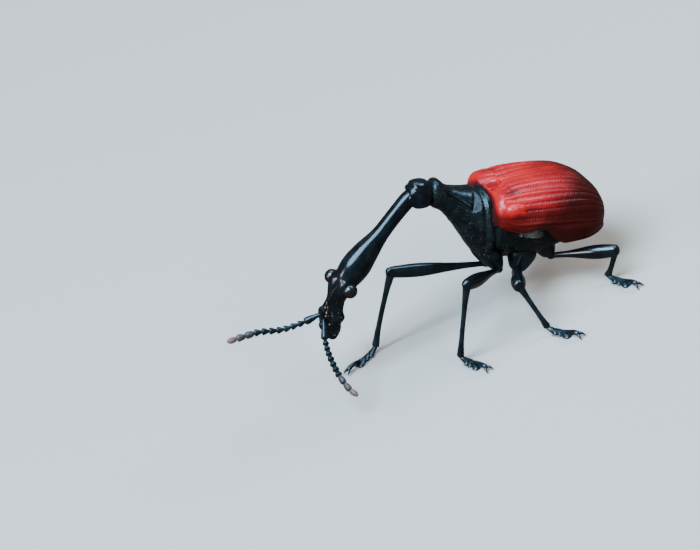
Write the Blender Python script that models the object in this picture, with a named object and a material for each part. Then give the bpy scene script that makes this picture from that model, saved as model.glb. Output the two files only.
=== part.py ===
"""A female giraffe weevil at life size, standing on six feet with its long neck bent down.

Lengths are in millimetres and angles in degrees until a mesh is made, which is in metres. The animal faces -X,
its left side faces -Y and the floor is z = 0. The body has a frame of its own, tilted nose up about the joint
between the forebody and the wing cases: s runs back along the body, y to its right and u up out of its back.
"""

import math

import bmesh
import bpy
from mathutils import Matrix, Vector

MM = 0.001
GAP = 0.3

# The trunk: its tilt, the height of its frame above the floor, and the lengths along it
BODY_PITCH = 20.0
BODY_HEIGHT = 7.1
ELYTRON_LENGTH = 7.65
ELYTRON_HALF_WIDTH = 3.35
ELYTRON_THICKNESS = 0.55
ELYTRON_WIDEST_S = 3.9
ELYTRON_SWELL = 0.42
MARGIN_U = (-1.52, -2.28)
MARGIN_DIP_S = (2.6, 4.4)
SCUTELLUM_HALF_WIDTH = 0.55
SCUTELLUM_LENGTH = 0.95

# Sections of a trunk piece: place along the body, top, bottom and half width
PRONOTUM_SECTIONS = (
    (-3.45, 1.66, 0.16, 0.72),
    (-3.20, 1.82, 0.04, 0.85),
    (-2.86, 1.46, -0.28, 0.76),
    (-2.30, 1.24, -1.00, 0.92),
    (-1.50, 1.10, -2.15, 1.30),
    (-0.80, 1.02, -3.15, 1.66),
    (-0.60, 0.92, -3.35, 1.72),
    (-0.30, 0.95, -3.60, 1.85),
)
THORAX_SECTIONS = (
    (0.00, 0.10, -2.50, 1.40),
    (0.80, 0.20, -3.10, 1.90),
    (2.00, 0.38, -3.55, 2.20),
    (3.20, 0.42, -3.50, 2.25),
    (4.20, 0.38, -3.15, 2.20),
)
ABDOMEN_SECTIONS = (
    (4.50, 0.28, -2.95, 2.08),
    (5.30, -0.05, -2.80, 1.90),
    (5.95, -0.55, -2.60, 1.55),
    (6.50, -1.15, -2.40, 0.95),
)

# The head capsule: the ball that turns in the forebody, the neck, the swelling, the eyes and the rostrum.
# Each station is x, y, z on the floor frame, half width and half depth.
NECK_STATIONS = (
    (-4.45, 0.00, 9.45, 0.50, 0.50),
    (-5.58, 0.00, 8.86, 0.50, 0.50),
    (-6.80, 0.00, 8.16, 0.54, 0.54),
    (-7.96, 0.00, 7.52, 0.76, 0.80),
    (-8.82, 0.00, 7.00, 0.88, 0.94),
    (-9.55, 0.00, 6.55, 0.76, 0.86),
    (-10.15, 0.02, 6.15, 0.46, 0.66),
    (-10.75, 0.08, 5.55, 0.44, 0.46),
    (-11.25, 0.16, 4.75, 0.74, 0.42),
    (-11.58, 0.23, 3.95, 0.54, 0.36),
    (-11.80, 0.30, 3.15, 0.36, 0.25),
)
NECK_END = 3.6
HEAD_END = 7.35
HEAD_TWIST = -20.0
BALL_CENTRE = (-4.30, 1.00)
BALL_HALF_SIZES = (0.72, 0.82, 0.97)
BALL_FLAT_S = -3.75
EYE_STATION = 5.95
EYE_RADIUS = 0.42
EYE_OFFSET = 0.95
EYE_BACK = 0.86

# Feelers: points from root to tip on the floor frame
ANTENNA_LEFT = (
    (-12.06, -0.46, 4.60),
    (-12.38, -0.85, 4.05),
    (-12.72, -2.00, 3.38),
    (-12.84, -3.30, 2.56),
    (-12.70, -4.15, 1.84),
    (-12.45, -4.60, 1.50),
)
ANTENNA_RIGHT = (
    (-12.02, 0.45, 4.86),
    (-12.50, 0.62, 4.72),
    (-14.20, 1.10, 4.68),
    (-15.60, 1.50, 5.05),
    (-16.45, 1.70, 5.12),
    (-17.60, 1.90, 5.20),
)
SCAPE_LENGTH = 0.95
CLUB_LENGTH = 1.75
ANTENNA_RADIUS = 0.25

# Coxae of each pair of legs in the body frame: root, tip and greatest radius, on the right side
COXAE = {
    "front": ((0.05, 0.85, -3.10), (0.72, 0.92, -4.25), 0.50),
    "middle": ((2.00, 1.05, -3.00), (2.00, 1.15, -4.25), 0.56),
    "hind": ((3.60, 1.05, -2.90), (3.85, 1.25, -3.85), 0.52),
}

# Legs: the knee and the ankle on the floor frame, the direction of the foot on the floor, and the greatest
# radius of the femur
LEGS = {
    "front_left": ((-3.95, -5.16, 5.35), (-5.62, -3.94), (0.30, -1.00), 0.44),
    "front_right": ((-6.62, 1.50, 4.70), (-9.18, 1.75), (-1.00, -0.43), 0.44),
    "middle_left": ((-0.90, -4.95, 3.85), (-0.32, -5.51), (0.45, -0.90), 0.42),
    "middle_right": ((1.75, 4.80, 3.85), (2.10, 5.20), (0.60, 0.80), 0.42),
    "hind_left": ((5.60, -4.10, 2.25), (4.90, -3.25), (0.35, -0.93), 0.46),
    "hind_right": ((4.30, 5.00, 2.75), (3.70, 5.10), (0.80, 0.60), 0.46),
}
HIP_REACH = 0.45
FEMUR_BASE_RADIUS = 0.27
KNEE_RADIUS = 0.30
TIBIA_RADIUS = 0.25
TIBIA_END_RADIUS = 0.29
TARSUS_LENGTH = 2.7
TARSUS_HEIGHT = 0.52

# Colours with their roughness
BLACK_SHELL = ((0.010, 0.014, 0.020, 1.0), 0.22)
BLUE_BLACK_SHELL = ((0.012, 0.028, 0.036, 1.0), 0.26)
RED_SHELL = ((0.360, 0.010, 0.014, 1.0), 0.24)
EYE_GLOSS = ((0.020, 0.014, 0.012, 1.0), 0.10)
CLUB_GREY = ((0.100, 0.090, 0.085, 1.0), 0.50)

TRUNK_AROUND = 24
LIMB_AROUND = 12


def empty_scene():
    for old in list(bpy.data.objects):
        bpy.data.objects.remove(old)


def shell_material(name, finish):
    colour, roughness = finish
    material = bpy.data.materials.new(name)
    material.use_nodes = True
    shader = material.node_tree.nodes["Principled BSDF"]
    shader.inputs["Base Color"].default_value = colour
    shader.inputs["Roughness"].default_value = roughness
    shader.inputs["Metallic"].default_value = 0.0
    return material


def body(s, y, u):
    """A point of the tilted body frame, on the floor frame."""
    pitch = math.radians(BODY_PITCH)
    x = s * math.cos(pitch) + u * math.sin(pitch)
    z = BODY_HEIGHT - s * math.sin(pitch) + u * math.cos(pitch)
    return Vector((x, y, z))


def smooth(values, t):
    """The value at t, in steps of one per entry, on a curve through a row of numbers or points."""
    last = len(values) - 1
    t = min(max(t, 0.0), float(last))
    i = min(int(t), last - 1)
    f = t - i
    before = values[max(i - 1, 0)]
    a = values[i]
    b = values[i + 1]
    after = values[min(i + 2, last)]
    slope_a = (b - before) * 0.5
    slope_b = (after - a) * 0.5
    h = 3 * f * f - 2 * f * f * f
    rise = f - 2 * f * f + f * f * f
    fall = f * f * f - f * f
    return a * (1 - h) + b * h + slope_a * rise + slope_b * fall


def between(table, place, column):
    """The smooth value of one column of a table of sections at a place given by its first column."""
    places = [row[0] for row in table]
    place = min(max(place, places[0]), places[-1])
    i = max(k for k in range(len(places) - 1) if places[k] <= place)
    t = i + (place - places[i]) / (places[i + 1] - places[i])
    return smooth([row[column] for row in table], t)


def solid(name, points, faces, finish):
    """A closed mesh object in metres, its faces pointing out."""
    mesh = bpy.data.meshes.new(name)
    mesh.from_pydata([Vector(p) * MM for p in points], [], faces)
    shape = bmesh.new()
    shape.from_mesh(mesh)
    bmesh.ops.remove_doubles(shape, verts=shape.verts, dist=0.000001)
    bmesh.ops.recalc_face_normals(shape, faces=shape.faces)
    shape.to_mesh(mesh)
    shape.free()
    mesh.materials.append(shell_material(name, finish))
    mesh.shade_smooth()
    mesh.set_sharp_from_angle(angle=math.radians(40))
    thing = bpy.data.objects.new(name, mesh)
    bpy.context.collection.objects.link(thing)
    return thing


def skin_rings(rings):
    """Points and faces of a tube through equal rings, closed by a flat cap at each end."""
    count = len(rings[0])
    points = [p for ring in rings for p in ring]
    faces = []
    for r in range(len(rings) - 1):
        for i in range(count):
            j = (i + 1) % count
            a = r * count
            b = a + count
            faces.append((a + i, a + j, b + j, b + i))
    faces.append(tuple(range(count)))
    faces.append(tuple(range(len(points) - count, len(points))))
    return points, faces


def oval(centre, side, up, half_width, half_height, fullness=2.0, around=LIMB_AROUND):
    """A ring of points; a fullness above 2 squares its corners."""
    ring = []
    for i in range(around):
        angle = math.tau * i / around
        c = math.cos(angle)
        s = math.sin(angle)
        across = math.copysign(abs(c) ** (2.0 / fullness), c)
        rise = math.copysign(abs(s) ** (2.0 / fullness), s)
        ring.append(centre + side * (half_width * across) + up * (half_height * rise))
    return ring


def trunk_piece(name, sections, finish, grow=0.0, fullness=2.4):
    """A piece of the trunk through its sections, larger all round by grow."""
    first = sections[0][0]
    last = sections[-1][0]
    side = Vector((0, 1, 0))
    up = body(0, 0, 1) - body(0, 0, 0)
    rings = []
    steps = 12
    for i in range(steps + 1):
        s = first + (last - first) * i / steps
        top = between(sections, s, 1) + grow
        bottom = between(sections, s, 2) - grow
        half_width = between(sections, s, 3) + grow
        s += grow * (2.0 * i / steps - 1.0)
        centre = body(s, 0, (top + bottom) / 2)
        rings.append(oval(centre, side, up, half_width, (top - bottom) / 2, fullness, TRUNK_AROUND))
    points, faces = skin_rings(rings)
    return solid(name, points, faces, finish)


def cut(thing, cutter):
    """Takes the cutter's volume out of the object, keeps the largest piece left and removes the cutter."""
    carve = thing.modifiers.new("cut", "BOOLEAN")
    carve.operation = "DIFFERENCE"
    carve.object = cutter
    settle(thing)
    bpy.data.objects.remove(cutter)
    keep_largest(thing)


def join(thing, pieces):
    """One union of the object with the pieces, which are then removed."""
    group = bpy.data.collections.new(thing.name + "_pieces")
    for piece in pieces:
        group.objects.link(piece)
    fuse = thing.modifiers.new("join", "BOOLEAN")
    fuse.operation = "UNION"
    fuse.operand_type = "COLLECTION"
    fuse.collection = group
    settle(thing)
    for piece in pieces:
        bpy.data.objects.remove(piece)
    bpy.data.collections.remove(group)
    keep_largest(thing)


def settle(thing):
    """Replaces the object's mesh by the one that its modifiers give."""
    graph = bpy.context.evaluated_depsgraph_get()
    mesh = bpy.data.meshes.new_from_object(thing.evaluated_get(graph))
    thing.modifiers.clear()
    thing.data = mesh


def keep_largest(thing):
    """Keeps the closed surface with the most volume and drops the others."""
    shape = bmesh.new()
    shape.from_mesh(thing.data)
    shells = []
    seen = set()
    for start in shape.verts:
        if start in seen:
            continue
        seen.add(start)
        shell = [start]
        for vert in shell:
            for edge in vert.link_edges:
                other = edge.other_vert(vert)
                if other not in seen:
                    seen.add(other)
                    shell.append(other)
        shells.append(shell)
    shells.sort(key=extent, reverse=True)
    for shell in shells[1:]:
        bmesh.ops.delete(shape, geom=shell, context="VERTS")
    shape.to_mesh(thing.data)
    shape.free()


def extent(shell):
    """The volume of the box round a shell's points."""
    size = 1.0
    for axis in range(3):
        places = [vert.co[axis] for vert in shell]
        size *= max(places) - min(places)
    return size


def tube_rings(centres, half_widths, half_heights, side_hint, first_normal=None, last_normal=None):
    """Rings across a row of centres; an end ring can lie in a given plane, as a mitred end does."""
    rings = []
    last = len(centres) - 1
    for i, centre in enumerate(centres):
        tangent = (centres[min(i + 1, last)] - centres[max(i - 1, 0)]).normalized()
        side = (side_hint - tangent * side_hint.dot(tangent)).normalized()
        up = tangent.cross(side)
        ring = oval(centre, side, up, half_widths[i], half_heights[i])
        normal = first_normal if i == 0 else last_normal if i == last else None
        if normal is not None:
            ring = [p - tangent * ((p - centre).dot(normal) / tangent.dot(normal)) for p in ring]
        rings.append(ring)
    return rings


def elytron_profile(s):
    """Height of the suture, of the widest line and of the margin, and the half widths of the last two."""
    rear = max(0.0, (s - ELYTRON_WIDEST_S) / (ELYTRON_LENGTH - ELYTRON_WIDEST_S))
    front = max(0.0, 1.0 - s / ELYTRON_WIDEST_S)
    apex = -1.75
    dome = max(0.0, 1.0 - rear ** 2.5) ** 0.5
    top = apex + (1.42 - apex) * dome - 0.62 * front ** 2
    widest = apex + (-0.75 - apex) * max(0.0, 1.0 - rear ** 3) ** 0.6 + 0.2 * front ** 2
    deep = min(1.0, max(0.0, (s - MARGIN_DIP_S[0]) / (MARGIN_DIP_S[1] - MARGIN_DIP_S[0])))
    drop = MARGIN_U[0] + (MARGIN_U[1] - MARGIN_U[0]) * deep * deep * (3.0 - 2.0 * deep) + 0.45 * front ** 3
    margin = apex + (drop - apex) * max(0.0, 1.0 - rear ** 3) ** 0.5
    half_width = ELYTRON_HALF_WIDTH * max(0.0, 1.0 - rear ** 2.6) ** 0.5 - 0.45 * front ** 3
    return top, widest, margin, half_width, half_width * 0.88


def elytron_point(s, across, depth):
    """A point of the right wing case: across runs from the suture, 0, to the margin, 1."""
    top, widest, margin, half_width, margin_width = elytron_profile(s)
    fold = 0.74
    inner = GAP / 2
    top -= depth
    half_width = max(half_width - depth, inner)
    margin_width = max(margin_width - depth, inner)
    if across <= fold:
        angle = math.radians(90.0 * across / fold)
        y = inner + (half_width - inner) * math.sin(angle) ** 0.92
        u = widest + (top - widest) * math.cos(angle) ** 0.80
        u += ELYTRON_SWELL * (1.0 - s / ELYTRON_LENGTH) * math.sin(math.pi * across / fold)
    else:
        share = (across - fold) / (1.0 - fold)
        y = half_width + (margin_width - half_width) * share ** 2
        u = widest + (margin - widest) * share
    return y, u


def elytron(name, hand):
    """One wing case: a curved shell closed along its rim."""
    rows = 17
    columns = 13
    points = []
    for depth in (0.0, ELYTRON_THICKNESS):
        for r in range(rows):
            ease = math.sin(math.radians(90.0 * r / (rows - 1)))
            s = (ELYTRON_LENGTH - depth) * ease
            stretched = s * ELYTRON_LENGTH / (ELYTRON_LENGTH - depth)
            for c in range(columns):
                y, u = elytron_point(min(stretched, ELYTRON_LENGTH * 0.998), c / (columns - 1), depth)
                points.append(body(s, y * hand, u))
    faces = []
    layer = rows * columns
    for r in range(rows - 1):
        for c in range(columns - 1):
            a = r * columns + c
            corners = (a, a + 1, a + 1 + columns, a + columns)
            faces.append(corners)
            faces.append(tuple(layer + k for k in reversed(corners)))
    rim = [c for c in range(columns)]
    rim += [r * columns + columns - 1 for r in range(1, rows)]
    rim += [(rows - 1) * columns + c for c in range(columns - 2, -1, -1)]
    rim += [r * columns for r in range(rows - 2, 0, -1)]
    for i, a in enumerate(rim):
        b = rim[(i + 1) % len(rim)]
        faces.append((a, b, layer + b, layer + a))
    thing = solid(name, points, faces, RED_SHELL)
    cut(thing, scutellum("notch", GAP))
    return thing


def scutellum(name, grow=0.0):
    """The small shield between the bases of the wing cases, rounded behind and domed on top."""
    outline = []
    rear = SCUTELLUM_LENGTH + grow
    half_width = SCUTELLUM_HALF_WIDTH + grow
    front = -grow
    steps = 10
    for i in range(steps + 1):
        angle = math.radians(180.0 * i / steps)
        s = 0.35 + (rear - 0.35) * math.sin(angle)
        outline.append((s, half_width * math.cos(angle)))
    outline.append((front, -half_width * 0.8))
    outline.append((front, half_width * 0.8))
    levels = ((0.40 - grow, 1.0), (0.85 + grow * 3, 1.0), (1.00 + grow * 4, 0.72))
    rings = []
    for u, share in levels:
        middle = 0.45
        rings.append([body(middle + (s - middle) * share, y * share, u) for s, y in outline])
    points, faces = skin_rings(rings)
    return solid(name, points, faces, RED_SHELL)


def head_place(t):
    """The centre line of the head capsule at a station number, and its half sizes there."""
    centre = Vector([smooth([row[k] for row in NECK_STATIONS], t) for k in range(3)])
    half_width = smooth([row[3] for row in NECK_STATIONS], t)
    half_depth = smooth([row[4] for row in NECK_STATIONS], t)
    return centre, half_width, half_depth


def head_side(t):
    """The direction of the animal's right at a station, turned about the neck towards the eyes."""
    tangent = (head_place(t + 0.1)[0] - head_place(t - 0.1)[0]).normalized()
    turn = Matrix.Rotation(math.radians(HEAD_TWIST * min(1.0, t / EYE_STATION)), 3, tangent)
    side = turn @ Vector((0, 1, 0))
    return (side - tangent * side.dot(tangent)).normalized()


def head_piece(name, start, end):
    """A length of the head capsule between two stations, shortened by half a gap at each cut."""
    count = max(6, round((end - start) * 4))
    places = [start + (end - start) * i / count for i in range(count + 1)]
    rings = []
    for i, t in enumerate(places):
        centre, half_width, half_depth = head_place(t)
        tangent = (head_place(min(t + 0.05, end))[0] - head_place(max(t - 0.05, start))[0]).normalized()
        if i == 0:
            centre = centre + tangent * (GAP / 2)
        if i == count:
            centre = centre - tangent * (GAP / 2)
        side = head_side(t)
        side = (side - tangent * side.dot(tangent)).normalized()
        rings.append(oval(centre, side, tangent.cross(side), half_width, half_depth, around=TRUNK_AROUND))
    points, faces = skin_rings(rings)
    return solid(name, points, faces, BLACK_SHELL)


def ball(name, centre, half_sizes, axes, finish, rings=9, flat=None):
    """An ellipsoid on three axes, with its far end cut flat at a share of its length where flat is given."""
    along, side, up = axes
    low = -1.0
    high = 1.0 if flat is None else flat
    layers = []
    for i in range(rings + 1):
        reach = low + (high - low) * i / rings
        reach = math.sin(math.radians(90.0 * reach)) if flat is None else reach
        reach = min(max(reach, -0.985), 0.985)
        share = math.sqrt(1.0 - reach * reach)
        middle = centre + along * (half_sizes[0] * reach)
        layers.append(oval(middle, side, up, half_sizes[1] * share, half_sizes[2] * share))
    points, faces = skin_rings(layers)
    return solid(name, points, faces, finish)


def neck_ball():
    """The ball at the hind end of the neck; its flat back faces the rim of the forebody."""
    along = body(1, 0, 0) - body(0, 0, 0)
    up = body(0, 0, 1) - body(0, 0, 0)
    centre = body(BALL_CENTRE[0], 0, BALL_CENTRE[1])
    flat = (BALL_FLAT_S - BALL_CENTRE[0]) / BALL_HALF_SIZES[0]
    thing = ball("neck_ball", centre, BALL_HALF_SIZES, (along, Vector((0, 1, 0)), up), BLACK_SHELL, flat=flat)
    start = head_place(0.0)[0]
    away = (head_place(0.1)[0] - start).normalized()
    cut(thing, slab("neck_seat", start + away * (1.0 - GAP / 2), away, 1.0, 1.2))
    return thing


def slab(name, centre, normal, half_thickness, half_size):
    """A square block across a direction."""
    side = normal.orthogonal().normalized()
    up = normal.cross(side)
    rings = []
    for reach in (-half_thickness, half_thickness):
        middle = centre + normal * reach
        corners = ((1, 1), (-1, 1), (-1, -1), (1, -1))
        rings.append([middle + side * (half_size * a) + up * (half_size * b) for a, b in corners])
    points, faces = skin_rings(rings)
    return solid(name, points, faces, BLACK_SHELL)


def eye(name, hand):
    """A bulging eye: a little more than half a ball, with its flat back against the side of the head."""
    centre = head_place(EYE_STATION)[0]
    side = head_side(EYE_STATION) * hand
    tangent = (head_place(EYE_STATION + 0.1)[0] - head_place(EYE_STATION - 0.1)[0]).normalized()
    flat = (EYE_OFFSET - EYE_BACK) / EYE_RADIUS
    sizes = (EYE_RADIUS, EYE_RADIUS, EYE_RADIUS)
    middle = centre + side * EYE_OFFSET
    return ball(name, middle, sizes, (-side, tangent, side.cross(tangent)), EYE_GLOSS, flat=flat)


def mandibles():
    """The pair of short jaws that close the tip of the rostrum, notched between."""
    end = len(NECK_STATIONS) - 1.0
    centre, half_width, half_depth = head_place(end)
    tangent = (centre - head_place(end - 0.2)[0]).normalized()
    side = head_side(end - 0.1)
    up = tangent.cross(side)
    rings = []
    for reach, share in ((0.15, 0.95), (0.35, 0.90), (0.60, 0.55)):
        middle = centre + tangent * reach
        rings.append(oval(middle, side, up, half_width * share, half_depth * 1.1 * share, 2.6))
    points, faces = skin_rings(rings)
    return solid("mandibles", points, faces, BLACK_SHELL)


def feeler(name, points, half_thickness, beads=0, finish=BLUE_BLACK_SHELL):
    """A round length of feeler through points, swelling once for each of its beads."""
    count = 4 + 4 * beads
    row = [Vector(p) for p in points]
    centres = [smooth(row, (len(row) - 1) * i / count) for i in range(count + 1)]
    thickness = []
    for i in range(count + 1):
        wave = abs(math.sin(math.pi * beads * i / count)) if beads else 1.0
        thickness.append(half_thickness * (0.86 + 0.14 * wave))
    rings = tube_rings(centres, thickness, thickness, Vector((0.1, 0.2, 1.0)))
    flat_points, faces = skin_rings(rings)
    return solid(name, flat_points, faces, finish)


def along_row(row, start, end):
    """Points evenly spaced along a smooth curve between two lengths measured from its first point."""
    fine = [smooth(row, (len(row) - 1) * i / 200) for i in range(201)]
    lengths = [0.0]
    for a, b in zip(fine, fine[1:]):
        lengths.append(lengths[-1] + (b - a).length)
    end = lengths[-1] if end is None else end
    result = []
    count = 8
    for k in range(count + 1):
        want = start + (end - start) * k / count
        i = max(j for j in range(200) if lengths[j] <= want)
        share = (want - lengths[i]) / (lengths[i + 1] - lengths[i])
        result.append(fine[i].lerp(fine[i + 1], min(share, 1.0)))
    return result, lengths[-1]


def antenna(side_name, route):
    """A feeler in three named pieces: the stout scape, the beaded funicle and the club."""
    row = [Vector(p) for p in route]
    total = along_row(row, 0.0, None)[1]
    club_start = total - CLUB_LENGTH
    name = "antenna_" + side_name
    scape = along_row(row, 0.0, SCAPE_LENGTH - GAP / 2)[0]
    funicle = along_row(row, SCAPE_LENGTH + GAP / 2, club_start - GAP / 2)[0]
    club = along_row(row, club_start + GAP / 2, None)[0]
    feeler(name + "_scape", scape, ANTENNA_RADIUS * 1.05)
    feeler(name + "_funicle", funicle, ANTENNA_RADIUS * 1.08, beads=5)
    feeler(name + "_club", club, ANTENNA_RADIUS * 1.15, beads=3, finish=CLUB_GREY)


def slant(tangent, normal):
    """How far a sloping end ring runs along a limb for each unit of its radius."""
    if normal is None:
        return 0.0
    lean = abs(tangent.dot(normal))
    return math.sqrt(1.0 - lean * lean) / lean


def limb(name, start, end, profile, first_normal=None, last_normal=None, finish=BLACK_SHELL):
    """A straight leg joint whose radius follows a profile of equal steps from start to end."""
    count = 7
    length = (end - start).length
    tangent = (end - start).normalized()
    lead = profile[0] * slant(tangent, first_normal) + 0.05
    tail = profile[-1] * slant(tangent, last_normal) + 0.05
    places = [0.0]
    places += [lead + (length - lead - tail) * i / (count - 2) for i in range(count - 1)]
    places += [length]
    centres = [start + tangent * reach for reach in places]
    radii = [smooth(profile, (len(profile) - 1) * reach / length) for reach in places]
    rings = tube_rings(centres, radii, radii, Vector((0.3, 0.2, 1.0)), first_normal, last_normal)
    points, faces = skin_rings(rings)
    return solid(name, points, faces, finish)


def tarsus(name, ankle, heading):
    """A foot flat on the floor: three joints that widen forwards, the last in two lobes, and a claw joint."""
    ahead = Vector((heading[0], heading[1], 0)).normalized()
    side = Vector((-ahead.y, ahead.x, 0))
    steps = (
        (-0.32, 0.20, 0.40),
        (-0.22, 0.27, 0.52),
        (0.30, 0.27, 0.52),
        (0.55, 0.33, 0.50),
        (0.72, 0.26, 0.46),
        (1.10, 0.42, 0.50),
        (1.25, 0.29, 0.46),
        (1.65, 0.55, 0.50),
        (1.88, 0.52, 0.42),
        (1.98, 0.27, 0.40),
        (2.40, 0.27, 0.46),
        (TARSUS_LENGTH, 0.22, 0.26),
    )
    rings = []
    for reach, half_width, height in steps:
        middle = Vector((ankle[0], ankle[1], 0)) + ahead * reach + Vector((0, 0, height * 0.4))
        ring = oval(middle, side, Vector((0, 0, 1)), half_width, height * 0.6, 2.6)
        rings.append([Vector((p.x, p.y, max(p.z, 0.0))) for p in ring])
    points, faces = skin_rings(rings)
    thing = solid(name, points, faces, BLUE_BLACK_SHELL)
    claws = []
    for hand in (-1, 1):
        root = Vector((ankle[0], ankle[1], 0.20)) + ahead * (TARSUS_LENGTH - 0.3) + side * (0.08 * hand)
        bend = root + ahead * 0.42 + side * (0.16 * hand)
        tip = root + ahead * 0.68 + side * (0.20 * hand) - Vector((0, 0, 0.14))
        rings = tube_rings([root, bend, tip], [0.12, 0.11, 0.04], [0.12, 0.11, 0.04], Vector((0, 0, 1)))
        points, faces = skin_rings(rings)
        claws.append(solid(name + "_claw", points, faces, BLUE_BLACK_SHELL))
    join(thing, claws)
    return thing


def coxa(name):
    """The egg-shaped first joint of a leg, cut to seat against the underside of the trunk; gives its tip."""
    pair, side_name = name.split("_")
    hand = -1 if side_name == "left" else 1
    root, tip, radius = COXAE[pair]
    root = body(root[0], root[1] * hand, root[2])
    tip = body(tip[0], tip[1] * hand, tip[2])
    down = (tip - root).normalized()
    side = down.orthogonal().normalized()
    sizes = ((tip - root).length / 2, radius, radius)
    egg = ball(name + "_coxa", (root + tip) / 2, sizes, (down, side, down.cross(side)), BLACK_SHELL)
    if pair == "front":
        cut(egg, trunk_piece("seat", PRONOTUM_SECTIONS, BLACK_SHELL, GAP))
    cut(egg, trunk_piece("seat", THORAX_SECTIONS, BLACK_SHELL, GAP))
    return tip


def leg(name, knee, ankle, heading, femur_radius):
    """One leg: the egg of the coxa, the swollen femur, the straight tibia and the foot."""
    hip = coxa(name)
    knee = Vector(knee)
    foot = Vector((ankle[0], ankle[1], TARSUS_HEIGHT))
    thigh = (knee - hip).normalized()
    shin = (foot - knee).normalized()
    mitre = (thigh + shin).normalized()
    start = hip + thigh * HIP_REACH
    end = knee - thigh * (GAP / 2 / thigh.dot(mitre))
    femur = (FEMUR_BASE_RADIUS, FEMUR_BASE_RADIUS, femur_radius * 0.78, femur_radius, femur_radius * 0.88,
             KNEE_RADIUS)
    limb(name + "_femur", start, end, femur, last_normal=mitre)
    start = knee + shin * (GAP / 2 / shin.dot(mitre))
    end = foot + shin * (GAP / shin.z)
    tibia = (KNEE_RADIUS, TIBIA_RADIUS, TIBIA_RADIUS, TIBIA_RADIUS, TIBIA_END_RADIUS)
    limb(name + "_tibia", start, end, tibia, mitre, Vector((0, 0, 1)), BLUE_BLACK_SHELL)
    tarsus(name + "_tarsus", ankle, heading)


def centre_on_floor():
    """Moves every piece so that the middle of the whole animal's box is over the origin."""
    low = [min(v.co[k] for o in bpy.data.objects for v in o.data.vertices) for k in range(3)]
    high = [max(v.co[k] for o in bpy.data.objects for v in o.data.vertices) for k in range(3)]
    shift = Matrix.Translation((-(low[0] + high[0]) / 2, -(low[1] + high[1]) / 2, 0))
    for thing in bpy.data.objects:
        thing.data.transform(shift)


empty_scene()
trunk_piece("pronotum", PRONOTUM_SECTIONS, BLACK_SHELL)
trunk_piece("thorax", THORAX_SECTIONS, BLACK_SHELL)
trunk_piece("abdomen", ABDOMEN_SECTIONS, BLACK_SHELL)
scutellum("scutellum")
elytron("elytron_left", -1)
elytron("elytron_right", 1)
neck_ball()
head_piece("neck", 0.0, NECK_END)
head_piece("head", NECK_END, HEAD_END)
head_piece("rostrum", HEAD_END, len(NECK_STATIONS) - 1.0)
mandibles()
eye("eye_left", -1)
eye("eye_right", 1)
antenna("left", ANTENNA_LEFT)
antenna("right", ANTENNA_RIGHT)
for leg_name, sizes in LEGS.items():
    leg(leg_name, *sizes)
centre_on_floor()
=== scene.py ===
"""A female giraffe weevil at life size: glossy black forebody, neck and legs, and red wing cases.

The animal faces -X, its left side faces -Y, and its soles are on z = 0. Sizes are in millimetres where no
other unit is named. The body has a tilted frame: s runs back along it, y to its right, u up out of it.
"""

import math
import random

import bpy
import numpy as np
from mathutils import Matrix, Quaternion, Vector


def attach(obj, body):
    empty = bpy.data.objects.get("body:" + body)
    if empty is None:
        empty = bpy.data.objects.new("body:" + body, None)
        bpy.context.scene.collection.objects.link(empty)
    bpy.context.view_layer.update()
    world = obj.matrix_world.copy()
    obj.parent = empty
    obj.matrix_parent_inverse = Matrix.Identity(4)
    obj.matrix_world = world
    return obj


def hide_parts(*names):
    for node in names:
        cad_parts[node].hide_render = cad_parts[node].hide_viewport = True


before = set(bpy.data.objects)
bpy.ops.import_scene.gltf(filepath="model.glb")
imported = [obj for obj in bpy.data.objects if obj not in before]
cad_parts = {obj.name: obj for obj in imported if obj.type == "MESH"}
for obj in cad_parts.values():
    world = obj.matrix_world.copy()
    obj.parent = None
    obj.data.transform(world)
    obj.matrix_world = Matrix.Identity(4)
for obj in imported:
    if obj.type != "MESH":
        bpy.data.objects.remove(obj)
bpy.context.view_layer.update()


# Camera and studio: the animal is seen from its left, from before and above, with the picture turned so
# that its body lies nearly level. Soft lamps hang over a plain pale floor. Gloss shows only the lamps that
# are marked for it, never the floor, and a day lamp in the place of the sky lamp lights what is matt.
MM = 0.001
# From the animal's own zero to the middle of its box
TO_MIDDLE = Vector((5.4289, 0.2775, 0.0))
CAMERA_AT = Vector((-44.86, -189.19, 110.45))
CAMERA_AIM = Vector((-9.17, 1.11, 5.99))
CAMERA_ROLL = -21.42
LENS = 186.7
CAMERA_NEAR = 0.01
FLOOR_COLOUR = (0.355, 0.338, 0.318, 1.0)
FLOOR_ROUGHNESS = 0.9
FLOOR_SIZE = 3.0
SOFT_LIGHTS = (
    # name, place and size in metres, power, colour, whether gloss shows it, whether it lights what is matt
    ("sky", (-0.14, -0.10, 0.34), 0.27, 7.0, (0.40, 0.70, 1.0), True, False),
    ("day", (-0.14, -0.10, 0.34), 0.27, 6.6, (0.56, 0.80, 1.0), False, True),
    ("zenith", (0.08, 0.08, 0.36), 0.26, 1.3, (0.38, 0.68, 1.0), True, False),
    ("behind", (0.25, -0.03, 0.33), 0.16, 1.4, (0.38, 0.68, 1.0), True, False),
    ("front", (0.16, -0.40, 0.26), 0.20, 2.0, (1.0, 0.97, 0.93), False, True),
    ("ahead", (-0.36, -0.04, 0.20), 0.13, 1.0, (1.0, 0.90, 0.94), True, True),
    ("right", (0.36, 0.04, 0.20), 0.20, 1.8, (1.0, 0.95, 0.92), False, True),
)
AMBIENT = (0.52, 0.55, 0.56, 1.0)
AMBIENT_STRENGTH = 0.26

look = (CAMERA_AIM - CAMERA_AT).to_track_quat("-Z", "Y") @ Quaternion((0, 0, 1), math.radians(CAMERA_ROLL))
bpy.ops.object.camera_add(location=(CAMERA_AT + TO_MIDDLE) * MM, rotation=look.to_euler())
camera = bpy.context.object
camera.name = "camera"
camera.data.lens = LENS
camera.data.clip_start = CAMERA_NEAR
bpy.context.scene.camera = camera

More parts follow.
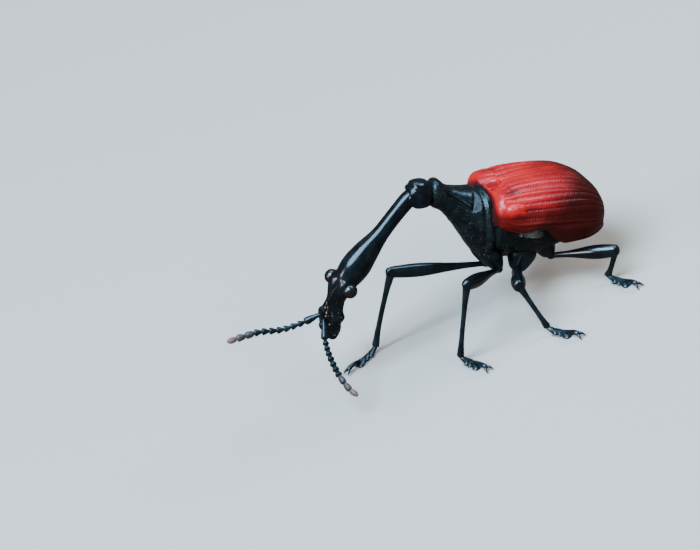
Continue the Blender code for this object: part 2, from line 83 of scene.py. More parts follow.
for light_name, place, size, power, colour, glossy, matt in SOFT_LIGHTS:
    aim = (-Vector(place)).to_track_quat("-Z", "Y").to_euler()
    bpy.ops.object.light_add(type="AREA", location=place, rotation=aim)
    light = bpy.context.object
    light.name = light_name
    light.data.shape = "DISK"
    light.data.size = size
    light.data.energy = power
    light.data.color = colour
    light.visible_glossy = glossy
    light.visible_diffuse = matt

world = bpy.data.worlds.new("studio")
world.use_nodes = True
world.node_tree.nodes["Background"].inputs["Color"].default_value = AMBIENT
world.node_tree.nodes["Background"].inputs["Strength"].default_value = AMBIENT_STRENGTH
bpy.context.scene.world = world

bpy.ops.mesh.primitive_plane_add(size=FLOOR_SIZE)
floor = bpy.context.object
floor.name = "floor"
floor_paint = bpy.data.materials.new("floor_paint")
floor_paint.use_nodes = True
floor_inputs = floor_paint.node_tree.nodes["Principled BSDF"].inputs
floor_inputs["Base Color"].default_value = FLOOR_COLOUR
floor_inputs["Roughness"].default_value = FLOOR_ROUGHNESS
floor.data.materials.append(floor_paint)
floor.visible_glossy = False


# Forebody: the tall black cone behind the neck, one hard plate bent into a tube. It opens in front in a
# thick rim that holds the ball of the neck, and has a toothed keel on each side and a raised band behind.
BODY_PITCH = math.radians(20.0)
BODY_HEIGHT = 7.1
FOREBODY_SECTIONS = (
    # place along the body, top, bottom, half width
    (-3.62, 1.42, 0.34, 0.50),
    (-3.55, 1.66, 0.15, 0.70),
    (-3.40, 1.81, 0.03, 0.83),
    (-3.20, 1.85, -0.06, 0.87),
    (-3.00, 1.77, -0.18, 0.86),
    (-2.80, 1.58, -0.36, 0.82),
    (-2.60, 1.39, -0.60, 0.82),
    (-2.30, 1.26, -1.00, 0.92),
    (-1.50, 1.10, -2.15, 1.30),
    (-0.95, 1.04, -2.98, 1.60),
    (-0.72, 0.98, -3.24, 1.72),
    (-0.52, 0.82, -3.40, 1.73),
    (-0.30, 0.95, -3.56, 1.89),
    (-0.06, 0.92, -3.60, 1.89),
    (0.06, 0.70, -3.50, 1.78),
)
BLACK = (0.0018, 0.0026, 0.0032, 1.0)
SHELL_IOR = 1.40
BLACK_SHINE = 0.33
DUST_AND_GLINT = (0.14, 0.15, 0.13, 1.0)
FACET_AT = Vector((-0.983, -1.084, 0.391))
FACET_WAY = Vector((-0.385, -0.715, 0.583)).normalized()
WELD = 0.0005


def on_body(s, y, u):
    """A point of the tilted body frame, in millimetres over the floor."""
    x = s * math.cos(BODY_PITCH) + u * math.sin(BODY_PITCH)
    z = BODY_HEIGHT - s * math.sin(BODY_PITCH) + u * math.cos(BODY_PITCH)
    return Vector((x, y, z)) + TO_MIDDLE


def clamp(value, low=0.0, high=1.0):
    return min(max(value, low), high)


def smooth(values, t):
    """The value at t, in steps of one per entry, on a curve through a row of numbers or points."""
    last = len(values) - 1
    t = clamp(t, 0.0, float(last))
    i = min(int(t), last - 1)
    f = t - i
    a = values[i]
    b = values[i + 1]
    slope_a = (b - values[max(i - 1, 0)]) * 0.5
    slope_b = (values[min(i + 2, last)] - a) * 0.5
    rise = 3 * f * f - 2 * f * f * f
    return a * (1 - rise) + b * rise + slope_a * (f - 2 * f * f + f * f * f) + slope_b * (f * f * f - f * f)


def section_at(table, t):
    """Place along the body, top, bottom and half width at a share t of the length that a table covers."""
    places = [row[0] for row in table]
    s = places[0] + (places[-1] - places[0]) * t
    place = clamp(s, places[0], places[-1])
    i = max(k for k in range(len(places) - 1) if places[k] <= place)
    step = i + (place - places[i]) / (places[i + 1] - places[i])
    return [s] + [smooth([row[column] for row in table], step) for column in (1, 2, 3)]


def hump(value, centre, half_width):
    """1 at the centre, falling smoothly to 0 at half a width away."""
    away = abs(value - centre) / half_width
    return 0.0 if away >= 1.0 else (1.0 - away * away) ** 2


def degrees_off(angle, zero):
    """How many degrees an angle lies from a zero, to either side."""
    return math.degrees(abs(math.atan2(math.sin(angle - zero), math.cos(angle - zero))))


def rounded(angle, fullness):
    """The two unit sides of a ring at an angle; a fullness above 2 squares its corners."""
    sides = (math.cos(angle), math.sin(angle))
    return [math.copysign(abs(side) ** (2.0 / fullness), side) for side in sides]


def begun(name, add, **settings):
    """A new primitive, which is then all that is selected."""
    bpy.ops.object.select_all(action="DESELECT")
    add(**settings)
    bpy.context.object.name = name
    return bpy.context.object


def new_grid(name, columns, rows):
    """A flat sheet of quads, one unit long and wide."""
    sizes = {"x_subdivisions": columns, "y_subdivisions": rows, "size": 1.0}
    return begun(name, bpy.ops.mesh.primitive_grid_add, **sizes)


def start_edit():
    bpy.ops.object.mode_set(mode="EDIT")
    bpy.ops.mesh.select_all(action="SELECT")


def close_openings():
    """Fills each open loop of edges of the shape in hand with one face."""
    bpy.ops.mesh.select_all(action="DESELECT")
    bpy.ops.mesh.select_non_manifold()
    bpy.ops.mesh.edge_face_add()


def leave_edit():
    """Turns every face of the shape in hand outwards and ends its editing."""
    bpy.ops.mesh.select_all(action="SELECT")
    bpy.ops.mesh.normals_make_consistent(inside=False)
    bpy.ops.object.mode_set(mode="OBJECT")


def wrapped_skin(name, rows, around, place):
    """A sheet of quads bent round into a closed skin; place(t, turn) gives each point, both from 0 to 1."""
    thing = new_grid(name, around, rows)
    for vert in thing.data.vertices:
        vert.co = place(vert.co.y + 0.5, (vert.co.x + 0.5) % 1.0) * MM
    start_edit()
    bpy.ops.mesh.remove_doubles(threshold=WELD * MM)
    close_openings()
    leave_edit()
    bpy.ops.object.shade_smooth()
    return thing


class Signal:
    """A socket of a shell's nodes. Sums, differences and products of signals become Math nodes."""

    def __init__(self, tree, socket=None):
        self.tree = tree
        self.socket = socket

    def node(self, kind, settings=None, inputs=None, output=0):
        """A node of any kind: its settings first, then the values or links of its sockets."""
        made = self.tree.nodes.new("ShaderNode" + kind)
        for key, value in (settings or {}).items():
            setattr(made, key, value)
        for key, value in (inputs or {}).items():
            if isinstance(value, Signal):
                self.tree.links.new(value.socket, made.inputs[key])
            else:
                made.inputs[key].default_value = value
        return Signal(self.tree, made.outputs[output])

    def math(self, operation, *values):
        return self.node("Math", {"operation": operation}, dict(enumerate(values)))

    def __add__(self, other):
        return self.math("ADD", self, other)

    def __sub__(self, other):
        return self.math("SUBTRACT", self, other)

    def __rsub__(self, other):
        return self.math("SUBTRACT", other, self)

    def __mul__(self, other):
        return self.math("MULTIPLY", self, other)

    __radd__ = __add__
    __rmul__ = __mul__

    def ramp(self, low, high):
        """0 below low and 1 above high, with soft ends."""
        settings = {"interpolation_type": "SMOOTHSTEP"}
        return self.node("MapRange", settings, {"Value": self, "From Min": low, "From Max": high})

    def mixed(self, colour, other):
        """The first colour where the signal is 0 and the other where it is 1."""
        return self.node("Mix", {"data_type": "RGBA"}, {0: self, 6: colour, 7: other}, output=2)

    def axis(self, letter):
        """One of the piece's own coordinates, in metres."""
        return self.node("SeparateXYZ", None, {0: self.node("TexCoord", output="Object")}, output=letter)

    def measure(self, name):
        """A measure that the mesh keeps at each of its points."""
        return self.node("Attribute", {"attribute_name": name}, output="Fac")

    def noise(self, scale, detail=2.0, roughness=0.5):
        """Clouded noise on the piece's own coordinates; the scale is in cells for each millimetre."""
        spot = self.node("TexCoord", output="Object")
        inputs = {"Vector": spot, "Scale": scale / MM, "Detail": detail, "Roughness": roughness}
        return self.node("TexNoise", None, inputs)

    def cells(self, scale):
        """Distance from the middle of rounded cells; the scale is in cells for each millimetre."""
        spot = self.node("TexCoord", output="Object")
        return self.node("TexVoronoi", None, {"Vector": spot, "Scale": scale / MM})

    def bumped(self, strength, depth):
        """The signal as a height that bends the light, with a depth in millimetres."""
        inputs = {"Height": self, "Strength": strength, "Distance": depth * MM}
        return self.node("Bump", None, inputs, output="Normal")


def shell_finish(name, colour, roughness, coat, specular=0.5, coat_roughness=0.05):
    """A new hard-shell material, and a signal to build its patterns from."""
    material = bpy.data.materials.new(name)
    material.use_nodes = True
    values = {"Base Color": colour, "Roughness": roughness, "IOR": SHELL_IOR}
    values |= {"Specular IOR Level": specular, "Coat Weight": coat, "Coat Roughness": coat_roughness}
    for socket, value in values.items():
        material.node_tree.nodes["Principled BSDF"].inputs[socket].default_value = value
    return material, Signal(material.node_tree)


def painted(material, ground, gloss=None, bump=None, coat=None):
    """Leads the finished signals to a material's shader."""
    feeds = {"Base Color": ground, "Roughness": gloss, "Normal": bump, "Coat Weight": coat}
    for socket, signal in feeds.items():
        if signal is not None:
            shader = material.node_tree.nodes["Principled BSDF"]
            material.node_tree.links.new(signal.socket, shader.inputs[socket])
    return material


def black_shell(name, colour, painted_sheen, roughness, pit_scale, pit_depth, dust_and_glint=0.0, shine=BLACK_SHINE):
    """Black shell: a painted cold sheen in clouds, finely pitted and wavy, pale specks of dust and painted
    glints.
    """
    material, signal = shell_finish(name, colour, roughness, 0.06, shine)
    cloud = signal.noise(1.1, 3.0)
    # The cold tint clouding the black is a painted sheen of the sky
    ground = cloud.ramp(0.42, 0.68).mixed(colour, painted_sheen)
    # Pale specks, partly dust and partly painted glints
    specks = (1.0 - signal.cells(8.5).ramp(0.12, 0.28)) * signal.noise(2.6, 3.0, 0.7).ramp(0.48, 0.62)
    ground = (specks * dust_and_glint).mixed(ground, DUST_AND_GLINT)
    grain = signal.noise(26.0)
    pits = 1.0 - signal.cells(pit_scale).ramp(0.06, 0.44)
    spread = signal.noise(1.7, 1.0).ramp(0.25, 0.55)
    height = signal.noise(3.5) * 0.35 + grain * 0.10 - pits * spread * (pit_depth * 0.42)
    gloss = cloud * 0.16 + grain * 0.10 + (roughness - 0.12)
    return painted(material, ground, gloss, height.bumped(0.45, 0.02))


def dress(piece, material, slot, *nodes):
    """Gives a finished piece its material, rides it on the animal and lets it stand for its solids."""
    piece.data.materials.clear()
    piece.data.materials.append(material)
    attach(piece, "root")
    if nodes:
        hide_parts(*nodes)

def forebody_point(t, turn):
    s, top, bottom, half_width = section_at(FOREBODY_SECTIONS, t)
    angle = math.tau * turn
    degrees = degrees_off(angle, math.pi / 2)
    # The keel drops down the side towards the rear, and its teeth are about a tenth of a millimetre apart
    keel_at = 51.0 + 13.0 * (s + 2.7) / 1.4
    keel = hump(degrees, keel_at, 4.5) * hump(s, -2.0, 0.95) ** 0.5
    teeth = 0.5 + 0.5 * abs(math.sin(s * 26.0))
    below_keel = hump(degrees, keel_at + 9.0, 8.0) * hump(s, -1.9, 0.9)
    flank = hump(degrees, 105.0, 45.0) * hump(s, -1.1, 1.5)
    wrinkle = math.sin(s * 11.0 + 2.3 * math.sin(degrees * 0.06)) * math.sin(degrees * 0.17 + s * 3.0)
    relief = 0.18 * keel * teeth - 0.09 * below_keel + 0.014 * flank * wrinkle
    across, rise = rounded(angle, 2.3)
    y = (half_width + relief) * across
    u = (top + bottom) / 2 + ((top - bottom) / 2 + relief) * rise
    # Behind each keel the side is cut to a flat facet that looks forwards and up
    behind_edge = (s + 0.95 + (degrees - 18.0) * 0.007) / 0.08 + 1.0
    over = max(0.0, (Vector((s, -abs(y), u)) - FACET_AT).dot(FACET_WAY)) * clamp(behind_edge)
    return on_body(s - over * FACET_WAY.x, y - math.copysign(over * FACET_WAY.y, y), u - over * FACET_WAY.z)


forebody = wrapped_skin("forebody", 220, 288, forebody_point)
forebody_black = black_shell("forebody_black", BLACK, (0.004, 0.007, 0.008, 1.0), 0.25, 9.0, 4.2, 0.55)
dress(forebody, forebody_black, "black_shell", "pronotum")


# Underbody: the hard plates below the wing cases, which carry the middle and hind legs, and the five rings
# of the belly behind them. Fine grooves part the plates, and white down lies under each wing case.
UNDERBODY_SECTIONS = (
    (-0.20, 0.34, -2.60, 1.60),
    (0.00, 0.50, -2.86, 1.86),
    (0.16, 0.62, -2.98, 2.22),
    (0.80, 0.64, -3.26, 2.42),
    (2.00, 0.72, -3.60, 2.36),
    (3.20, 0.74, -3.55, 2.32),
    (4.20, 0.64, -3.22, 2.26),
    (5.00, 0.30, -2.96, 2.05),
    (5.70, -0.20, -2.72, 1.78),
    (6.30, -0.80, -2.55, 1.32),
    (6.70, -1.20, -2.35, 0.85),
    (6.82, -1.45, -2.15, 0.45),
)
RING_GROOVES = (4.30, 4.95, 5.45, 5.90, 6.30)


def underbody_point(t, turn):
    s, top, bottom, half_width = section_at(UNDERBODY_SECTIONS, t)
    angle = math.tau * turn
    below = degrees_off(angle, -math.pi / 2)
    relief = 0.0
    for place in RING_GROOVES:
        relief -= 0.05 * hump(s, place + 0.10 * math.cos(math.radians(below)), 0.07)
    # Side plates: one slanting groove before the middle legs, one along the flank, and the mid line below
    relief -= 0.05 * hump(s, 0.95 + (below - 60.0) * 0.012, 0.07) * (below > 25.0)
    relief -= 0.05 * hump(below, 74.0 - 2.0 * s, 3.2) * hump(s, 2.7, 1.8)
    relief -= 0.035 * hump(below, 0.0, 4.0) * hump(s, 3.0, 1.4)
    relief += 0.05 * hump(s, 2.9, 1.3) * hump(below, 30.0, 26.0)
    across, rise = rounded(angle, 2.4)
    y = (half_width + relief) * across
    u = (top + bottom) / 2 + ((top - bottom) / 2 + relief) * rise
    return on_body(s, y, u)


underbody = wrapped_skin("underbody", 150, 96, underbody_point)
underbody_black = black_shell("underbody_black", BLACK, (0.003, 0.005, 0.005, 1.0), 0.30, 10.0, 1.6, 0.40)
dress(underbody, underbody_black, "black_shell", "thorax", "abdomen")


# Scutellum: the little red shield in the notch between the wing cases. It is domed, finely pitted and has a
# raised rim. It is filled from its outline, thickened, stepped in to a rim and a dome, and smoothed.
SHIELD_HALF_WIDTH = 0.56
SHIELD_FRONT = -0.02
SHIELD_REAR = 1.03
SHIELD_LEVELS = (0.42, 0.93)
SHIELD_SLOPE = 0.23
# Width and rise of each step in from the outline
SHIELD_STEPS = ((0.025, 0.060), (0.035, 0.0), (0.040, -0.085), (0.12, 0.012), (0.12, 0.0), (0.12, -0.012))
SHIELD_RIM = 0.80
RIM_HIGHLIGHT = 0.03
DOME_RELIEF = -0.04
RED = (0.355, 0.0050, 0.0082, 1.0)
VALLEY_SHADE_RED = (0.135, 0.0022, 0.0036, 1.0)
ORANGE_RED = (0.42, 0.0170, 0.0095, 1.0)
SHADE_RED = (0.022, 0.0018, 0.0009, 1.0)
PIT_SHADE_BROWN = (0.050, 0.0018, 0.0022, 1.0)
FOLD_SHADE_BROWN = (0.020, 0.0011, 0.0011, 1.0)
BODY_FRAME = Matrix.Translation(on_body(0, 0, 0) * MM) @ Matrix.Rotation(BODY_PITCH, 4, "Y")


def select_only(things):
    """Selects some things alone, with the first of them in hand."""
    bpy.ops.object.select_all(action="DESELECT")
    for thing in things:
        thing.select_set(True)
    bpy.context.view_layer.objects.active = things[0]


def settle(thing, matrix=None):
    """Applies the piece's modifiers and puts its place into its mesh."""
    select_only([thing])
    for modifier in list(thing.modifiers):
        bpy.ops.object.modifier_apply(modifier=modifier.name)
    if matrix is not None:
        thing.matrix_world = matrix
    bpy.ops.object.transform_apply(location=True, rotation=True, scale=True)
    return thing


def subdivided(thing, levels):
    smoother = thing.modifiers.new("smooth", "SUBSURF")
    smoother.levels = levels
    smoother.render_levels = levels
    bpy.ops.object.shade_smooth()


def keep_measure(thing, name, values):
    """Keeps a measure at each point of a shape, for its material to read."""
    kept = thing.data.attributes.new(name, "FLOAT", "POINT")
    kept.data.foreach_set("value", np.array(values, np.float32))


def shield():
    thing = begun("shield", bpy.ops.mesh.primitive_circle_add, vertices=28, radius=MM, fill_type="NGON")
    middle = (SHIELD_FRONT + SHIELD_REAR) / 2
    reach = (SHIELD_REAR - SHIELD_FRONT) / 2
    low, high = SHIELD_LEVELS
    for vert in thing.data.vertices:
        s, y = vert.co.x / MM, vert.co.y / MM
        s = s if s > 0.0 else math.copysign(abs(s) ** 0.5, s)
        vert.co = Vector((middle + s * reach, y * SHIELD_HALF_WIDTH * (1.0 - 0.10 * s), low)) * MM
    start_edit()
    bpy.ops.mesh.extrude_region_move(TRANSFORM_OT_translate={"value": (0, 0, (high - low) * MM)})
    for width, rise in SHIELD_STEPS:
        bpy.ops.mesh.inset(thickness=width * MM, depth=rise * MM)
    leave_edit()
    subdivided(thing, 2)
    # The shield slopes up from the forebody's rim to the backs of the wing cases
    # The rim's measure paints a highlight on it in the ribs' lighter red, and the dome's gives it the
    # darker pit and valley colours
    relief = []
    for vert in thing.data.vertices:
        off = math.hypot((vert.co.x / MM - middle) / reach, vert.co.y / MM / SHIELD_HALF_WIDTH)
        relief.append(RIM_HIGHLIGHT if off > SHIELD_RIM else DOME_RELIEF)
        vert.co.z += SHIELD_SLOPE * (vert.co.x - middle * MM)
    keep_measure(thing, "relief", relief)
    return settle(thing, BODY_FRAME)


def red_shell(name):
    """Glossy red shell: painted shade low, behind, in valleys, pits and the fold; painted highlights on
    ribs.
    """
    material, signal = shell_finish(name, RED, 0.26, 0.14, 0.25, 0.26)
    lifted = signal.axis("Z")
    behind = signal.axis("X")
    cloud = signal.noise(0.9, 3.0)
    # Painted shade: the red darkens low down and towards the rear
    low = (lifted - behind * 0.20 + (cloud - 0.5) * (1.2 * MM)).ramp(6.6 * MM, 3.7 * MM)
    # Painted shade also darkens the flank below a line along the body
    flank = (lifted + behind * math.tan(BODY_PITCH) + (cloud - 0.5) * (0.8 * MM)).ramp(9.6 * MM, 8.75 * MM)
    low = signal.math("MAXIMUM", low, flank * 0.88)
    relief = signal.measure("relief")
    fold = signal.measure("fold")
    pits = relief.ramp(-0.016, -0.055)
    ground = RED
    # Painted shade low, behind, between the ribs, in the pits and on the fold, a painted highlight on the
    # ribs, and orange clouds at random
    for share, colour in (
        (low, SHADE_RED),
        ((relief.ramp(0.010, 0.060) - relief.ramp(0.080, 0.130)) * 0.55, low.mixed(ORANGE_RED, SHADE_RED)),
        (relief.ramp(0.006, -0.012) * (1.0 - low) * 0.48, VALLEY_SHADE_RED),
        (pits * 0.66, PIT_SHADE_BROWN),
        (fold * 0.9, FOLD_SHADE_BROWN),
        (cloud.ramp(0.55, 0.75) * (1.0 - low) * 0.22, ORANGE_RED),
    ):
        ground = share.mixed(ground, colour)
    grain = signal.noise(30.0)
    dimples = 1.0 - signal.cells(13.0).ramp(0.08, 0.30)
    height = grain * 0.14 + signal.noise(6.0) * 0.30 - dimples * 0.18
    gloss = cloud * 0.14 + grain * 0.12 + pits * 0.10 + fold * 0.30 + 0.20
    coat = (1.0 - low) * (1.0 - fold) * 0.35
    return painted(material, ground, gloss, height.bumped(0.42, 0.02), coat)


case_red = red_shell("case_red")
dress(shield(), case_red, "red_shell", "scutellum")


# Wing cases: two thin red shells that meet along the back. Each has eight lengthwise rows of round pits
# with raised ribs between them, a shoulder knob, and a keel low on its side, under which the shell folds in
# to a beaded edge. Its base is rounded and folds down to the forebody.
CASE_LENGTH = 7.65
CASE_END = CASE_LENGTH * 0.9999
CASE_HALF_WIDTH = 3.35
CASE_WIDEST_S = 3.9
CASE_WIDEST_U = -0.75
CASE_TOP_U = 1.42
CASE_SWELL = 0.42
CASE_EDGE_U = (-1.34, -2.28)
CASE_EDGE_S = (2.7, 4.2)
CASE_APEX_U = -1.75
# Depth, middle and half length of the notch in the lower edge
CASE_NOTCH = (0.20, 2.45, 0.95)
CASE_START = 0.02
CASE_FRONT = -0.06
CASE_SINK = (0.40, 1.05)
CASE_FOLD_SHARE = 0.05
CASE_ROUND = 0.42
SHOULDER_LEAN = 0.12
CASE_THICKNESS = 0.20
# Share of the breadth at which the shell turns in under its side
CASE_FOLD = 0.74
ROW_SPACING = 0.085
ROW_COUNT = 8
PIT_SPACING = 0.175
CASE_ROWS = 290
CASE_COLUMNS = 170
# Row beside each rib, the rib's height and how far back it reaches
CASE_RIBS = ((4.5, 0.055, 5.2), (2.5, 0.026, 5.5), (6.5, 0.020, 5.0), (0.45, 0.028, 7.2))
# Place along the keel and its share of the breadth there
KEEL_LINE = ((0.0, 0.70), (0.9, 0.735), (2.45, 0.725), (5.05, 0.745), (6.95, 0.79), (7.65, 0.80))


def soft_step(value, low, high):
    share = np.clip((value - low) / (high - low), 0.0, 1.0)
    return share * share * (3.0 - 2.0 * share)


def bulge(value, centre, half_width):
    """The hump of the forebody for a whole array."""
    return np.clip(1.0 - ((value - centre) / half_width) ** 2, 0.0, 1.0) ** 2


def case_surface(s, across):
    """Points of the plain right wing case in the body frame."""
    rear = np.clip((s - CASE_WIDEST_S) / (CASE_LENGTH - CASE_WIDEST_S), 0.0, 1.0)
    front = np.clip(1.0 - s / CASE_WIDEST_S, 0.0, 1.0)
    top = CASE_APEX_U + (CASE_TOP_U - CASE_APEX_U) * (1.0 - rear ** 2.5) ** 0.5 - 0.62 * front ** 2
    widest = CASE_APEX_U + (CASE_WIDEST_U - CASE_APEX_U) * (1.0 - rear ** 3) ** 0.6 + 0.2 * front ** 2
    drop = CASE_EDGE_U[0] + (CASE_EDGE_U[1] - CASE_EDGE_U[0]) * soft_step(s, *CASE_EDGE_S)
    drop = drop + 0.45 * front ** 3 + CASE_NOTCH[0] * bulge(s, *CASE_NOTCH[1:])
    edge = CASE_APEX_U + (drop - CASE_APEX_U) * (1.0 - rear ** 3) ** 0.5
    half_width = CASE_HALF_WIDTH * (1.0 - rear ** 2.6) ** 0.5 - 0.45 * front ** 3
    # The inner border runs round the shield, then along the middle of the back
    round_shield = np.clip(1.0 - (s / (SHIELD_REAR + 0.03)) ** 2, 0.0, 1.0) ** 0.5
    inner = 0.02 + (SHIELD_HALF_WIDTH + 0.05) * round_shield
    half_width = np.maximum(half_width, inner + 0.01)
    upper = np.clip(across / CASE_FOLD, 0.0, 1.0)
    angle = upper * math.pi / 2
    y = inner + (half_width - inner) * np.sin(angle) ** 0.92
    u = widest + (top - widest) * np.maximum(np.cos(angle), 0.0) ** 0.80
    u = u + CASE_SWELL * (1.0 - s / CASE_LENGTH) * np.sin(math.pi * upper)
    lower = np.clip((across - CASE_FOLD) / (1.0 - CASE_FOLD), 0.0, 1.0)
    y = y - 0.12 * half_width * lower ** 2
    # At the hind tip the lower edges draw together
    y = y - (y - 0.02) * lower ** 2 * soft_step(s, 7.30, 7.61)
    u = u + (edge - widest) * lower
    return np.stack([s, y, u], axis=-1)


def case_relief(s, across, run):
    """How far the wing case stands out of its plain surface; run is the length from its base."""
    row = across / ROW_SPACING
    nearest = np.clip(np.round(row), 1, ROW_COUNT)
    off = np.abs(row - nearest)
    disc = 1.0 - soft_step(across, 0.715, 0.745)
    ends = soft_step(s, 0.25, 1.1) * (1.0 - soft_step(s, 6.9, 7.5))
    shoulder = bulge(s, 0.75, 1.0) * bulge(across, 0.56, 0.16)
    fading = disc * ends * (1.0 - 0.85 * shoulder)
    relief = 0.014 * np.clip(off * 2.0, 0.0, 1.0) ** 1.3 * fading
    relief -= 0.012 * bulge(off, 0.0, 0.26) * fading
    beat = 0.5 + 0.5 * np.cos(math.tau * run / PIT_SPACING + nearest * 2.1)
    depth = 0.075 * (0.75 + 0.25 * np.sin(nearest * 1.7 + s)) * fading
    relief -= bulge(off, 0.0, 0.25) * beat ** 1.6 * depth
    # The rib between the fourth and fifth rows is the highest, and the one by the suture is the longest
    for rib, height, reach in CASE_RIBS:
        fades = (1.0 - soft_step(s, reach - 2.5, reach)) * soft_step(s, 0.1, 0.9)
        relief += height * bulge(row, rib, 0.42) * fades
    # The shoulder knob, the hollow behind it, and the one beside the shield
    relief += 0.20 * bulge(s, 0.88, 0.72) * bulge(across, 0.590, 0.100)
    relief -= 0.075 * bulge(s, 1.95, 1.0) * bulge(across, 0.62, 0.13)
    relief -= 0.07 * bulge(s, 1.05, 0.8) * bulge(across, 0.27, 0.15)
    relief -= 0.04 * bulge(across, 0.0, 0.05) * (1.0 - soft_step(s, 0.6, 0.9))
    # The keel with a groove and a row of pits below it, and the bead of the edge
    keel = np.interp(s, [k[0] for k in KEEL_LINE], [k[1] for k in KEEL_LINE])
    keel_height = 0.10 * (0.35 + 0.65 * soft_step(s, 0.3, 2.0)) * (1.0 - soft_step(s, 6.6, 7.4))
    relief += keel_height * bulge(across, keel, 0.020)
    relief -= 0.07 * bulge(across, keel + 0.045, 0.045) * soft_step(s, 0.8, 2.2)
    side_row = 0.5 + 0.5 * np.cos(math.tau * run / (PIT_SPACING * 1.2))
    relief -= 0.030 * bulge(across, keel + 0.085, 0.016) * side_row * ends
    relief += 0.045 * bulge(across, 0.985, 0.030) * soft_step(s, 0.1, 0.5)
    wander = np.sin(run * 2.3 + across * 19.0) * np.sin(across * 31.0 - run * 1.1)
    relief += 0.010 * wander + 0.004 * np.sin(run * 17.0 + across * 60.0) * disc
    return relief * (1.0 - 0.8 * soft_step(s, 7.35, 7.62))


def case_place(share, across):
    """Points of the right wing case: it follows the back, and its rounded base folds down in front."""
    behind = np.clip((share - CASE_FOLD_SHARE) / (1.0 - CASE_FOLD_SHARE), 0.0, 1.0)
    place = case_surface(CASE_START + (CASE_END - CASE_START) * np.sin(math.pi / 2 * behind), across)
    fold = np.clip(1.0 - share / CASE_FOLD_SHARE, 0.0, 1.0)
    narrows = 1.0 - 0.9 * soft_step(across, 0.72, 0.98)
    deep = CASE_SINK[0] + (CASE_SINK[1] - CASE_SINK[0]) * bulge(across, 0.50, 0.62)
    sink = deep * narrows * fold ** 1.25
    over = np.clip(1.0 - place[..., 0] / CASE_ROUND, 0.0, 0.96)
    sink += CASE_ROUND * (1.0 - (1.0 - over ** 2) ** 0.5) * soft_step(across, 0.06, 0.28) * narrows
    place[..., 0] += (CASE_FRONT - CASE_START) * narrows * fold ** 0.8
    lean = soft_step(across, 0.20, 0.46) * (1.0 - soft_step(across, 0.60, 0.85))
    place[..., 0] -= SHOULDER_LEAN * lean * (1.0 - soft_step(place[..., 0], 0.0, 1.3))
    place[..., 1] -= sink * np.sin(math.pi / 2 * across)
    place[..., 2] -= sink * np.cos(math.pi / 2 * across)
    return place


def wing_case(name, hand):
    """One wing case: a grid laid over its side of the back, carved in relief and given a wall."""
    thing = new_grid(name, CASE_COLUMNS, CASE_ROWS)
    flat = np.empty(len(thing.data.vertices) * 3)
    thing.data.vertices.foreach_get("co", flat)
    across = np.clip(flat[0::3] + 0.5, 0.0, 1.0)
    share = np.clip(flat[1::3] + 0.5, 0.0, 1.0)
    fine = np.linspace(0.0, 1.0, 400)
    middle = case_place(fine, np.full_like(fine, 0.4))
    lengths = np.concatenate([[0.0], np.cumsum(np.linalg.norm(np.diff(middle, axis=0), axis=1))])
    run = np.interp(share, fine, lengths)
    step = 0.002
    before = case_place(np.clip(share - step, 0.0, 0.9970), across)
    ahead = case_place(np.minimum(share + step, 0.9999), across) - before
    left = case_place(share, np.maximum(across - step, 0.0))
    outward = np.cross(ahead, case_place(share, np.minimum(across + step, 1.0)) - left)
    outward /= np.maximum(np.linalg.norm(outward, axis=1, keepdims=True), 1e-12)
    points = case_place(share, across)
    carved = soft_step(share, 0.7 * CASE_FOLD_SHARE, 1.6 * CASE_FOLD_SHARE)
    relief = case_relief(points[:, 0], across, run) * carved
    points = points + outward * relief[:, None]
    # The very edge curls in under the animal
    points[:, 1] -= 0.10 * soft_step(across, 0.982, 1.0)
    points[:, 1] = np.maximum(points[:, 1], 0.012)
    for i, (s, y, u) in enumerate(points):
        flat[3 * i:3 * i + 3] = on_body(s, y * hand, u) * MM
    thing.data.vertices.foreach_set("co", flat)
    keep_measure(thing, "relief", relief)
    keep_measure(thing, "fold", soft_step(1.0 - share / CASE_FOLD_SHARE, 0.0, 0.50))
    if hand > 0:
        thing.data.flip_normals()
    wall = thing.modifiers.new("wall", "SOLIDIFY")
    wall.thickness = CASE_THICKNESS * MM
    wall.offset = -1.0
    bpy.ops.object.shade_smooth()
    return settle(thing)


SIDES = (("left", -1), ("right", 1))
for side_name, hand in SIDES:
    dress(wing_case("case_" + side_name, hand), case_red, "red_shell", "elytron_" + side_name)


# Neck ball: the knob at the hind end of the head, which turns in the rim of the forebody. A shallow groove
# crosses it, and a low ring stands round the place where the neck leaves it.
BALL_MIDDLE = (-4.26, 0.0, 1.00)
BALL_HALF_SIZES = (0.86, 0.84, 0.93)
BALL_FULLNESS = 2.35
NECK_STATIONS = (
    # x, y, z over the floor, half width, half depth
    (-3.85, 0.00, 9.62, 0.47, 0.47),
    (-4.45, 0.00, 9.45, 0.52, 0.52),
    (-5.58, 0.00, 8.86, 0.50, 0.50),
    (-6.80, 0.00, 8.16, 0.54, 0.54),
    (-7.96, 0.00, 7.52, 0.76, 0.80),
    (-8.82, 0.00, 7.00, 0.88, 0.94),
    (-9.55, 0.00, 6.55, 0.78, 0.86),
    (-10.15, 0.02, 6.15, 0.52, 0.64),
    (-10.75, 0.08, 5.55, 0.46, 0.50),
    (-11.25, 0.16, 4.75, 0.76, 0.52),
    (-11.58, 0.23, 3.98, 0.70, 0.48),
    (-11.76, 0.30, 3.34, 0.52, 0.36),
)
HEAD_TWIST = math.radians(-32.0)
EYE_STATION = 6.75
TIP_STATION = 11.0


def head_line(t):
    """The middle of the head at a station number, and its half width and half depth there."""
    x, y, z, half_width, half_depth = [smooth([row[k] for row in NECK_STATIONS], t) for k in range(5)]
    return Vector((x, y, z)) + TO_MIDDLE, half_width, half_depth


def head_axes(t):
    """The way along the head at a station, the animal's right, and the way down out of its chin."""
    along = (head_line(min(t + 0.05, TIP_STATION))[0] - head_line(max(t - 0.05, 0.0))[0]).normalized()
    share = clamp((t - 1.0) / (EYE_STATION - 1.0))
    right = Matrix.Rotation(HEAD_TWIST * share, 3, along) @ Vector((0, 1, 0))
    right = (right - along * right.dot(along)).normalized()
    return along, right, along.cross(right)


